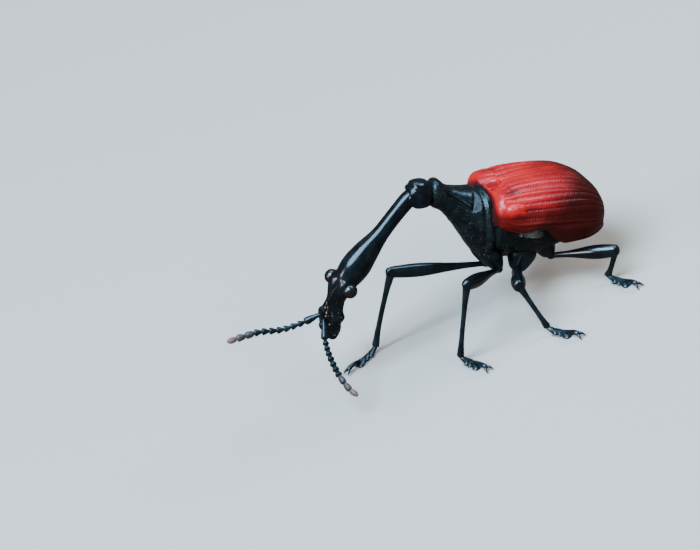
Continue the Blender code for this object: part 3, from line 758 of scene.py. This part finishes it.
def ball_point(t, turn):
    lift = math.pi * (0.004 + 0.992 * t)
    back, side = rounded(lift, BALL_FULLNESS)
    y, u = [part * side for part in rounded(math.tau * turn, BALL_FULLNESS)]
    # Its under side reaches further back than its crown
    s = -back + 0.16 * max(0.0, -u)
    half_length, half_width, half_height = BALL_HALF_SIZES
    spot = on_body(half_length * s, half_width * y, half_height * u) - on_body(0, 0, 0)
    out = spot.normalized()
    neck_way = (head_line(1.6)[0] - head_line(0.0)[0]).normalized()
    off = math.degrees(math.acos(clamp(out.dot(neck_way), -1.0)))
    relief = (0.11 * hump(off, 38.0, 14.0) - 0.09 * hump(off, 57.0, 12.0)) * clamp(0.7 + u)
    relief -= 0.090 * hump(off, 88.0, 12.0) * max(0.0, u)
    relief += 0.030 * math.sin(3.0 * math.atan2(y, u) + 0.6) * hump(off, 75.0, 40.0)
    return on_body(*BALL_MIDDLE) + spot + out * relief


neck_knob = wrapped_skin("neck_knob", 96, 96, ball_point)
neck_black = black_shell("neck_black", BLACK, (0.004, 0.006, 0.009, 1.0), 0.16, 9.0, 0.35)
dress(neck_knob, neck_black, "black_shell", "neck_ball")


# Head: one long glossy capsule from the ball to the jaws. Its neck swells before the eyes, narrows between
# them, and widens again into a flat, knobbly snout that carries the feelers on its sides.
HEAD_FORMS = (
    # height, station and half length, what its degrees are measured from, and their middle and half width
    (0.20, 7.75, 1.15, "above", 150.0, 85.0),
    (-0.05, 7.0, 0.9, "above", 0.0, 15.0),
    (0.125, 8.3, 1.7, "keel", 0.0, 8.0),
    (0.070, 9.2, 0.9, "above", 38.0, 13.0),
    (-0.060, 9.0, 0.9, "above", 20.0, 12.0),
    (0.13, 9.05, 0.40, "beside", 12.0, 46.0),
    (-0.07, 9.75, 0.30, "beside", 20.0, 50.0),
    (0.09, 10.15, 0.34, "above", 60.0, 45.0),
)
SOIL = (0.19, 0.105, 0.060, 1.0)


def head_point(t, turn):
    station = TIP_STATION * t
    middle, half_width, half_depth = head_line(station)
    along, right, chin = head_axes(station)
    angle = math.tau * turn
    across, drop = rounded(angle, 2.0 + 0.5 * hump(station, 9.6, 1.8))
    beside = math.degrees(math.acos(min(1.0, abs(math.cos(angle)))))
    from_top = math.degrees(math.atan2(math.cos(angle), -math.sin(angle)))
    # The keel wanders: it starts a little left of the mid line and ends right of it
    keel_at = -9.0 + 20.0 * clamp((station - 7.0) / 2.2)
    off = {"beside": beside, "above": abs(from_top), "keel": abs(from_top - keel_at)}
    # Sockets swell towards the eyes
    stretch = 0.66 if station < EYE_STATION else 1.25
    beside_eye = abs(beside * math.copysign(1.0, math.sin(angle)) + 16.0)
    relief = 0.36 * hump(math.hypot((station - EYE_STATION) / stretch, beside_eye / 50.0), 0.0, 1.35)
    for height, place, reach, measure, degrees, width in HEAD_FORMS:
        relief += height * hump(off[measure], degrees, width) * hump(station, place, reach)
    # The snout's back rises behind its end, fine creases cross the throat, and small knobs cover the snout
    relief += 0.17 * clamp((station - 7.7) / 1.2) * hump(off["above"], 0.0, 52.0) * hump(station, 9.0, 1.3)
    relief += 0.007 * math.sin(station * 42.0) * hump(off["above"], 180.0, 120.0) * hump(station, 3.4, 3.0)
    knobs = math.sin(station * 9.0 + angle * 2.0) * math.sin(angle * 4.0 - station * 3.0)
    grain = math.sin(station * 31.0) * math.sin(angle * 12.0)
    relief += (0.022 * knobs + 0.006 * grain) * hump(station, 9.7, 2.2)
    offset = right * ((half_width + relief) * across) + chin * ((half_depth + relief) * drop)
    # The mouth end is drawn in round the jaws
    return middle + offset * (1.0 - 0.35 * max(0.0, (t - 0.975) / 0.025) ** 3)


def snout_shell():
    """The black of the neck, with tawny soil caught between the knobs of the snout."""
    material = black_shell("head_black", BLACK, (0.0035, 0.006, 0.008, 1.0), 0.16, 9.5, 0.45, 0.12)
    inputs = material.node_tree.nodes["Principled BSDF"].inputs
    links = [inputs[socket].links[0].from_socket for socket in ("Base Color", "Roughness")]
    black, gloss = [Signal(material.node_tree, link) for link in links]
    forward = black.axis("X").ramp(-5.25 * MM, -6.0 * MM)
    specks = (1.0 - black.cells(4.4).ramp(0.13, 0.26)) * black.noise(2.2, 1.0).ramp(0.50, 0.56) * forward
    return painted(material, specks.mixed(black, SOIL), gloss + specks * 0.4)


head_capsule = wrapped_skin("head_capsule", 320, 128, head_point)
dress(head_capsule, snout_shell(), "black_shell", "neck", "head", "rostrum")


# Eyes: round and strongly bulging, of many small facets under one glossy cornea. Each is a ball sunk into
# its socket, with the hidden part sliced off and closed with one face.
EYE_RADIUS = 0.46
EYE_OFFSET = 0.80
EYE_LIFT = 0.20
# How far in the ball is sliced, as a share of its radius
EYE_SLICE = 0.75
EYE_BLACK = (0.009, 0.006, 0.005, 1.0)
FACET_BROWN = (0.016, 0.0085, 0.006, 1.0)
FACET_BLACK = (0.004, 0.003, 0.003, 1.0)
FACET_COLD = (0.006, 0.008, 0.010, 1.0)


def eye_shell():
    """Brown and black facets under a smooth clear skin, cold in patches."""
    material, signal = shell_finish("eye_cornea", EYE_BLACK, 0.30, 0.10, 0.60)
    facets = signal.cells(30.0)
    ground = facets.ramp(0.20, 0.55).mixed(FACET_BROWN, FACET_BLACK)
    ground = (signal.noise(2.2).ramp(0.45, 0.7) * 0.5).mixed(ground, FACET_COLD)
    gloss = signal.noise(3.0).ramp(0.3, 0.8) * 0.08 + 0.21
    return painted(material, ground, gloss, (1.0 - facets).bumped(0.10, 0.01))


cornea = eye_shell()
along, right, chin = head_axes(EYE_STATION)
for side_name, hand in SIDES:
    outward = right * hand
    eye_middle = head_line(EYE_STATION)[0] + outward * EYE_OFFSET - chin * EYE_LIFT
    eye = begun("eyeball_" + side_name, bpy.ops.mesh.primitive_uv_sphere_add, segments=56, ring_count=40,
                radius=EYE_RADIUS * MM, location=eye_middle * MM)
    start_edit()
    slice_at = (eye_middle - outward * (EYE_RADIUS * EYE_SLICE)) * MM
    bpy.ops.mesh.bisect(plane_co=slice_at, plane_no=outward, clear_inner=True)
    close_openings()
    leave_edit()
    bpy.ops.object.shade_smooth_by_angle(angle=math.radians(50))
    dress(settle(eye), cornea, "eye_gloss", "eye_" + side_name)


# Jaws: two short black hooks that close the snout. One is drawn out of a ring, curved and smoothed, and two
# copies of it are set side by side, turned towards each other.
JAW_SHAPE = (
    (0.00, 0.20, 0.18, 0.00),
    (0.12, 0.23, 0.20, 0.02),
    (0.24, 0.21, 0.18, -0.02),
    (0.34, 0.14, 0.13, -0.09),
    (0.41, 0.06, 0.07, -0.16),
    (0.44, 0.015, 0.02, -0.20),
)
JAW_SINK = 0.10
JAW_SPREAD = 0.23


def drawn_out(name, around, stations, placement=None, levels=2):
    """A smooth stem drawn up out of a ring; a station is a height, two half widths and a shift sideways."""
    thing = begun(name, bpy.ops.mesh.primitive_circle_add, vertices=around, radius=MM, fill_type="NGON")
    height, wide, deep, shift = stations[0]
    start_edit()
    bpy.ops.transform.resize(value=(wide, deep, 1.0), center_override=(0, 0, 0))
    bpy.ops.transform.translate(value=(shift * MM, 0, height * MM))
    for station in stations[1:]:
        move = ((station[3] - shift) * MM, 0, (station[0] - height) * MM)
        bpy.ops.mesh.extrude_region_move(TRANSFORM_OT_translate={"value": move})
        centre = (station[3] * MM, 0, station[0] * MM)
        bpy.ops.transform.resize(value=(station[1] / wide, station[2] / deep, 1.0), center_override=centre)
        height, wide, deep, shift = station
    leave_edit()
    subdivided(thing, levels)
    return settle(thing, placement)


def frame_along(start, way, towards):
    """A placement whose Z runs along a way from a start in millimetres, with X towards a direction."""
    z = way.normalized()
    x = (towards - z * towards.dot(z)).normalized()
    turn = Matrix((x, z.cross(x), z)).transposed().to_4x4()
    return Matrix.Translation(start * MM) @ turn


def joined(name, parts):
    """One object of several, each of which keeps its own closed surface."""
    select_only(parts)
    bpy.ops.object.join()
    parts[0].name = name
    return parts[0]


def twin(thing, matrix):
    """A copy of a finished shape with a mesh of its own, placed by a matrix."""
    copy = thing.copy()
    copy.data = thing.data.copy()
    bpy.context.collection.objects.link(copy)
    copy.data.transform(matrix)
    return copy


along, right, chin = head_axes(TIP_STATION)
jaw_root = head_line(TIP_STATION)[0] - along * JAW_SINK
jaw_model = drawn_out("jaw_model", 12, JAW_SHAPE)
jaws = [twin(jaw_model, frame_along(jaw_root + right * (JAW_SPREAD * hand), along, right * hand))
        for hand in (-1, 1)]
bpy.data.objects.remove(jaw_model)
dress(joined("jaw_pair", jaws), neck_black, "black_shell", "mandibles")


# Feelers: eleven joints each, like beads on a thread. A stout first joint, seven small ones, and a club of
# three whose last joint ends in a pale point. Each kind of joint is shaped once and then copied.
FEELER_ROUTES = {
    "left": (
        (-12.06, -0.46, 4.60),
        (-12.38, -0.85, 4.05),
        (-12.72, -2.00, 3.38),
        (-12.84, -3.30, 2.56),
        (-12.70, -4.15, 1.84),
        (-12.45, -4.60, 1.50),
    ),
    "right": (
        (-12.02, 0.45, 4.86),
        (-12.50, 0.62, 4.72),
        (-14.20, 1.10, 4.68),
        (-15.60, 1.50, 5.05),
        (-16.45, 1.70, 5.12),
        (-17.60, 1.90, 5.20),
    ),
}
SCAPE_LENGTH = 0.95
CLUB_LENGTH = 1.75
CLUB_SHARES = (("club", 0.33), ("club", 0.32), ("tip", 0.35))
BEAD_COUNT = 7
BEAD_SHAPES = {
    "scape": ((-0.42, 0.10, 0.10, 0), (0.05, 0.12, 0.12, 0), (0.50, 0.20, 0.19, 0), (0.82, 0.24, 0.23, 0),
              (0.96, 0.19, 0.19, 0), (1.00, 0.08, 0.08, 0)),
    "bead": ((-0.10, 0.07, 0.07, 0), (0.08, 0.10, 0.10, 0), (0.45, 0.17, 0.16, 0), (0.78, 0.22, 0.21, 0),
             (0.94, 0.18, 0.17, 0), (0.99, 0.08, 0.08, 0)),
    "club": ((-0.06, 0.09, 0.09, 0), (0.10, 0.15, 0.13, 0), (0.45, 0.21, 0.18, 0), (0.80, 0.22, 0.18, 0),
             (0.95, 0.17, 0.15, 0), (1.00, 0.08, 0.08, 0)),
    "tip": ((-0.06, 0.09, 0.09, 0), (0.10, 0.15, 0.13, 0), (0.40, 0.20, 0.17, 0), (0.72, 0.16, 0.14, 0),
            (0.90, 0.09, 0.08, 0), (0.99, 0.03, 0.03, 0)),
}
# The blue-black and the cold sheen paint a bluish reflection of the sky on the feelers and shins
BLUE_BLACK = (0.0025, 0.0050, 0.0065, 1.0)
COLD_SHEEN = (0.004, 0.011, 0.015, 1.0)
CLUB_GREY = (0.017, 0.0155, 0.0155, 1.0)
CLUB_PALE = (0.115, 0.062, 0.045, 1.0)


def club_shell():
    """The down-covered club: dull dark grey, paling to the colour of skin at its tip."""
    material, signal = shell_finish("club_down", CLUB_GREY, 0.5, 0.0)
    fuzz = signal.noise(14.0, 3.0)
    ground = (signal.measure("tipward") + (fuzz - 0.5) * 0.35).ramp(0.35, 1.05).mixed(CLUB_GREY, CLUB_PALE)
    return painted(material, ground, fuzz * 0.3 + 0.35, fuzz.bumped(0.6, 0.02))


def route_lengths(route):
    """A feeler's curve in fine steps, and the length from its root to each of them."""
    row = [Vector(point) + TO_MIDDLE for point in route]
    fine = [smooth(row, (len(row) - 1) * i / 300) for i in range(301)]
    lengths = [0.0]
    for a, b in zip(fine, fine[1:]):
        lengths.append(lengths[-1] + (b - a).length)
    return fine, lengths


def point_at(fine, lengths, want):
    want = clamp(want, 0.0, lengths[-1] - 0.0001)
    i = max(k for k in range(len(lengths) - 1) if lengths[k] <= want)
    return fine[i].lerp(fine[i + 1], (want - lengths[i]) / (lengths[i + 1] - lengths[i]))


bead_models = {kind: drawn_out(kind + "_model", 14, stations) for kind, stations in BEAD_SHAPES.items()}
feeler_black = black_shell("feeler_black", BLUE_BLACK, COLD_SHEEN, 0.22, 16.0, 0.8)
club_down = club_shell()
for side_name, route in FEELER_ROUTES.items():
    fine, lengths = route_lengths(route)
    bead_length = (lengths[-1] - SCAPE_LENGTH - CLUB_LENGTH) / BEAD_COUNT
    joints = [("scape", SCAPE_LENGTH)] + [("bead", bead_length)] * BEAD_COUNT
    joints += [(kind, CLUB_LENGTH * share) for kind, share in CLUB_SHARES]
    start = 0.0
    placed = []
    for number, (kind, length) in enumerate(joints):
        a = point_at(fine, lengths, start)
        b = point_at(fine, lengths, start + length)
        thickness = 1.12 if kind != "bead" else 1.02 + 0.02 * number
        stretch = Matrix.Diagonal((thickness, thickness, length, 1.0))
        placed.append(twin(bead_models[kind], frame_along(a, b - a, Vector((0.1, 0.2, 1.0))) @ stretch))
        start += length
    beads = joined("feeler_beads_" + side_name, placed[:-len(CLUB_SHARES)])
    root_name = "antenna_" + side_name
    dress(beads, feeler_black, "blue_black_shell", root_name + "_scape", root_name + "_funicle")
    club = joined("feeler_club_" + side_name, placed[-len(CLUB_SHARES):])
    ends = [1.0 - (vert.co - fine[-1] * MM).length / (CLUB_LENGTH * MM) for vert in club.data.vertices]
    keep_measure(club, "tipward", ends)
    dress(club, club_down, "club_grey", root_name + "_club")
for model in bead_models.values():
    bpy.data.objects.remove(model)


# Legs: each has a cone-shaped hip set in the underside, a thigh that swells past its middle, a thin shin
# that widens at the ankle and ends in two spurs, and a foot of three heart-shaped pads, a claw joint and
# two claws. The ring between hip and thigh, the spur and the foot are shaped once and copied.
HIPS = {
    # root and tip on the right side in the body frame, greatest radius, and how blunt the tip is
    "front": ((-0.02, 0.84, -2.95), (0.70, 0.92, -4.25), 0.72, 0.06),
    "middle": ((2.20, 1.05, -2.95), (1.74, 1.15, -4.22), 0.96, 0.10),
    "hind": ((3.45, 1.05, -2.75), (3.85, 1.25, -3.68), 0.74, 0.12),
}
# Least thickness of a thigh that starts thick, as a share of its greatest
THICK_STARTS = {"middle": 0.74}
LEGS = {
    # knee, ankle, heading of the foot, greatest radius of the thigh, how far the hip is let down
    "front_left": ((-3.95, -5.16, 5.35), (-5.62, -3.94), (0.30, -1.00), 0.44, 0.0),
    "front_right": ((-6.62, 1.50, 4.70), (-9.18, 1.75), (-1.00, -0.43), 0.44, 0.34),
    "middle_left": ((-0.98, -4.97, 3.58), (-0.32, -5.51), (0.45, -0.90), 0.50, 0.18),
    "middle_right": ((1.75, 4.80, 3.85), (2.10, 5.20), (0.60, 0.80), 0.42, 0.0),
    "hind_left": ((5.60, -4.10, 2.25), (4.90, -3.25), (0.35, -0.93), 0.46, 0.0),
    "hind_right": ((4.30, 5.00, 2.75), (3.70, 5.10), (0.80, 0.60), 0.46, 0.0),
}
ANKLE_HEIGHT = 0.40
HIP_PROFILE = ((-0.25, 0.60), (0.00, 0.92), (0.22, 1.0), (0.46, 0.90), (0.68, 0.68), (0.86, 0.50),
               (0.98, 0.34), (1.03, 0.14))
RING_SHAPE = ((-0.10, 0.16, 0.16, 0), (0.02, 0.25, 0.25, 0), (0.20, 0.27, 0.27, 0), (0.36, 0.22, 0.22, 0),
              (0.42, 0.12, 0.12, 0))
THIGH_PROFILE = ((-0.03, 0.34), (0.02, 0.40), (0.15, 0.42), (0.32, 0.52), (0.50, 0.80), (0.68, 1.02),
                 (0.82, 1.00), (0.92, 0.90), (0.98, 0.86), (1.035, 0.74), (1.065, 0.40))
SHIN_PROFILE = ((-0.035, 0.12), (-0.02, 0.24), (0.04, 0.27), (0.12, 0.25), (0.24, 0.175), (0.70, 0.155),
                (0.88, 0.195), (0.97, 0.25), (1.00, 0.24), (1.01, 0.12))
SHIN_BOW = 0.10
SPUR_SHAPE = ((0.0, 0.05, 0.05, 0.0), (0.12, 0.035, 0.035, 0.0), (0.22, 0.008, 0.008, 0.0))
FOOT_PARTS = (
    # two pads, a lobe of the third, the claw joint and a claw: reach from the ankle, turn in degrees, shift
    # sideways, and stations of length, half height, half width and height of the middle. What is turned has
    # a twin, turned and shifted the other way.
    (0.0, 0.0, 0.0, ((-0.16, 0.10, 0.09, 0.40), (-0.04, 0.15, 0.13, 0.33), (0.20, 0.13, 0.14, 0.22),
                     (0.46, 0.12, 0.19, 0.15), (0.66, 0.12, 0.25, 0.13), (0.79, 0.09, 0.25, 0.10),
                     (0.84, 0.04, 0.17, 0.09))),
    (0.66, 0.0, 0.0, ((-0.04, 0.07, 0.08, 0.20), (0.10, 0.11, 0.13, 0.16), (0.30, 0.12, 0.23, 0.13),
                      (0.46, 0.10, 0.28, 0.11), (0.55, 0.05, 0.22, 0.09))),
    (1.08, 11.0, 0.07, ((-0.04, 0.07, 0.08, 0.19), (0.14, 0.11, 0.12, 0.15), (0.40, 0.11, 0.17, 0.12),
                        (0.60, 0.09, 0.19, 0.10), (0.74, 0.06, 0.14, 0.08), (0.79, 0.02, 0.06, 0.07))),
    (1.42, 0.0, 0.0, ((0.00, 0.06, 0.06, 0.20), (0.18, 0.08, 0.08, 0.29), (0.55, 0.10, 0.10, 0.34),
                      (0.90, 0.13, 0.14, 0.32), (1.06, 0.13, 0.15, 0.28), (1.14, 0.07, 0.08, 0.25))),
    (2.42, 24.0, 0.06, ((0.00, 0.09, 0.07, 0.26), (0.14, 0.09, 0.07, 0.27), (0.28, 0.07, 0.06, 0.22),
                        (0.38, 0.04, 0.035, 0.14), (0.44, 0.01, 0.01, 0.07))),
)
FOOT_SWELL = 1.2
LEG_SHINE = 0.60
UP = Vector((0, 0, 1))


def hip(pair, hand, drop):
    """The cone of the hip; gives the piece and its tip."""
    root, tip, radius, blunt = HIPS[pair]
    root = on_body(root[0], root[1] * hand, root[2])
    tip = on_body(tip[0], tip[1] * hand, tip[2] - drop)
    stations = []
    for share, width in HIP_PROFILE:
        width = radius * (width + blunt * hump(share, 0.90, 0.45))
        stations.append(((tip - root).length * share, width, width, 0.0))
    return drawn_out("hip", 20, stations, frame_along(root, tip - root, Vector((1, 0, 0)))), tip


def thigh(start, knee, radius, least):
    stations = []
    for share, width in THIGH_PROFILE:
        width = radius * (max(width, least) if 0.0 < share < 0.9 else width)
        stations.append(((knee - start).length * share, width, width * 0.92, -0.10 * width))
    return drawn_out("thigh", 20, stations, frame_along(start, knee - start, UP))


spur_model = drawn_out("spur_model", 8, SPUR_SHAPE, levels=1)


def shin(knee, foot_top, outward):
    """A thin bar, bowed a little outwards, with two spurs at its ankle."""
    length = (foot_top - knee).length
    stations = [(length * share, width, width * 0.94, SHIN_BOW * math.sin(math.pi * share))
                for share, width in SHIN_PROFILE]
    parts = [drawn_out("shin", 16, stations, frame_along(knee, foot_top - knee, outward))]
    way = (foot_top - knee).normalized()
    across = way.cross(outward).normalized()
    for hand in (-1, 1):
        start = foot_top - way * 0.10 + across * (0.13 * hand) - outward * 0.12
        parts.append(twin(spur_model, frame_along(start, way - outward * 0.5, across)))
    return joined("shin", parts)


def foot():
    """A foot that stands on the floor with its ankle at the origin and heads along +X."""
    parts = []
    for reach, turn, shift, stations in FOOT_PARTS:
        swelled = [(row[0],) + tuple(k * FOOT_SWELL for k in row[1:]) for row in stations]
        for hand in (1, -1) if turn else (1,):
            way = Matrix.Rotation(math.radians(-turn * hand), 3, UP) @ Vector((1, 0, 0))
            start = Vector((reach, -shift * hand, 0))
            parts.append(drawn_out("pad", 14, swelled, frame_along(start, way, UP)))
    return joined("foot_model", parts)


leg_black = black_shell("leg_black", BLACK, (0.003, 0.0065, 0.009, 1.0), 0.19, 11.0, 0.6, shine=LEG_SHINE)
shin_black = black_shell("shin_black", BLUE_BLACK, COLD_SHEEN, 0.27, 13.0, 0.8, shine=LEG_SHINE)
ring_model = drawn_out("ring_model", 16, RING_SHAPE)
foot_model = foot()
for leg_name, (knee, ankle, heading, radius, drop) in LEGS.items():
    pair, side_name = leg_name.split("_")
    knee = Vector(knee) + TO_MIDDLE
    ankle = Vector((*ankle, 0.0)) + TO_MIDDLE
    foot_top = ankle + UP * ANKLE_HEIGHT
    hip_piece, hip_tip = hip(pair, dict(SIDES)[side_name], drop)
    thigh_way = (knee - hip_tip).normalized()
    ring = twin(ring_model, frame_along(hip_tip - thigh_way * 0.05, thigh_way, UP))
    stem = thigh(hip_tip + thigh_way * 0.15, knee, radius, THICK_STARTS.get(pair, 0.0))
    down = (foot_top - knee).normalized()
    outward = knee - (hip_tip + foot_top) / 2
    outward = (outward - down * outward.dot(down)).normalized()
    turned = Matrix.Translation(ankle * MM) @ Matrix.Rotation(math.atan2(heading[1], heading[0]), 4, "Z")
    for part_name, piece, material, slot, node in (
        ("hip_", hip_piece, leg_black, "black_shell", "_coxa"),
        ("thigh_", joined("thigh", [stem, ring]), leg_black, "black_shell", "_femur"),
        ("shin_", shin(knee, foot_top, outward), shin_black, "blue_black_shell", "_tibia"),
        ("foot_", twin(foot_model, turned), shin_black, "blue_black_shell", "_tarsus"),
    ):
        piece.name = part_name + leg_name
        dress(piece, material, slot, leg_name + node)
for model in (ring_model, spur_model, foot_model):
    bpy.data.objects.remove(model)


# Down: short white hairs lie in a patch along the flank, tight under the edge of each wing case. A sparser
# row of tawny hairs fringes each foot pad. Every hair is a thin three-sided spike.
DOWN_SEED = 41
DOWN_COUNT = 3600
DOWN_LENGTH = (0.14, 0.30)
DOWN_THICKNESS = 0.013
DOWN_REACH = ((0.90, 3.10), (76.0, 108.0))
DOWN_MIDDLE = (2.30, 92.0)
DOWN_WHITE = (0.19, 0.21, 0.20, 1.0)
DOWN_GREY = (0.085, 0.088, 0.080, 1.0)
PAD_FRINGES = (
    # reach from the ankle and half width of the row, one for each pad
    (0.58, 0.27),
    (1.00, 0.29),
    (1.52, 0.31),
)
FRINGE_COUNT = 46
FRINGE_LENGTH = (0.09, 0.16)
FRINGE_THICKNESS = 0.008
PAD_TAWNY = (0.11, 0.070, 0.040, 1.0)
PAD_BROWN = (0.035, 0.022, 0.015, 1.0)


def hair_finish(name, pale, dark):
    material, signal = shell_finish(name, pale, 0.55, 0.0)
    return painted(material, signal.noise(5.0).ramp(0.3, 0.7).mixed(pale, dark))


def spikes(name, hairs):
    """One mesh of thin spikes, each given by its root, its tip and its thickness."""
    points = []
    faces = []
    for root, tip, thickness in hairs:
        way = (tip - root).normalized()
        side = way.orthogonal().normalized()
        first = len(points)
        middle = root.lerp(tip, 0.6) + UP * (0.06 * (tip - root).length)
        for centre, radius in ((root, thickness), (middle, thickness * 0.7)):
            for turn in range(3):
                angle = math.tau * turn / 3
                spoke = side * math.cos(angle) + way.cross(side) * math.sin(angle)
                points.append(centre + spoke * radius)
        points.append(tip)
        faces.append((first + 2, first + 1, first))
        for turn in range(3):
            after = (turn + 1) % 3
            faces.append((first + turn, first + after, first + 3 + after, first + 3 + turn))
            faces.append((first + 3 + turn, first + 3 + after, first + 6))
    mesh = bpy.data.meshes.new(name)
    mesh.from_pydata([point * MM for point in points], [], faces)
    mesh.uv_layers.new(name="OFBake")
    mesh.shade_smooth()
    thing = bpy.data.objects.new(name, mesh)
    bpy.context.collection.objects.link(thing)
    return thing


chance = random.Random(DOWN_SEED)
first_s = UNDERBODY_SECTIONS[0][0]
last_s = UNDERBODY_SECTIONS[-1][0]
back = on_body(1.0, 0, 0) - on_body(0, 0, 0)
white_hairs = []
for count in range(DOWN_COUNT):
    s = chance.uniform(*DOWN_REACH[0])
    below = chance.uniform(*DOWN_REACH[1])
    # The patch thins out slowly in front, fast behind, and climbs towards the rear
    past = s - DOWN_MIDDLE[0]
    dense = hump(past, 0.0, 0.62 if past > 0.0 else 1.25) * hump(below, DOWN_MIDDLE[1] - 3.0 * past, 12.0)
    if chance.random() > dense ** 0.65:
        continue
    for hand in (-1, 1):
        angle = math.radians(-90.0 + below * hand)
        root = underbody_point((s - first_s) / (last_s - first_s), (angle / math.tau) % 1.0)
        way = back + Vector((0, hand * chance.uniform(0.10, 0.35), chance.uniform(-0.45, 0.15)))
        white_hairs.append((root, root + way.normalized() * chance.uniform(*DOWN_LENGTH), DOWN_THICKNESS))
dress(spikes("flank_down", white_hairs), hair_finish("down_hair", DOWN_WHITE, DOWN_GREY), "club_grey")

tawny_hairs = []
for knee, ankle, heading, radius, drop in LEGS.values():
    ahead = Vector((*heading, 0.0)).normalized()
    beside = ahead.cross(UP)
    middle = Vector((*ankle, 0.0)) + TO_MIDDLE
    for reach, half_width in PAD_FRINGES:
        for count in range(FRINGE_COUNT):
            hand = chance.choice((-1, 1))
            place = reach + chance.uniform(-0.16, 0.16)
            root = middle + ahead * place + beside * (hand * half_width) + UP * chance.uniform(0.09, 0.15)
            way = beside * (hand * chance.uniform(0.5, 1.0)) + ahead * chance.uniform(0.1, 0.8) - UP * 0.25
            tip = root + way.normalized() * chance.uniform(*FRINGE_LENGTH)
            tawny_hairs.append((root, tip, FRINGE_THICKNESS))
dress(spikes("pad_fringes", tawny_hairs), hair_finish("pad_hair", PAD_TAWNY, PAD_BROWN), "club_grey")
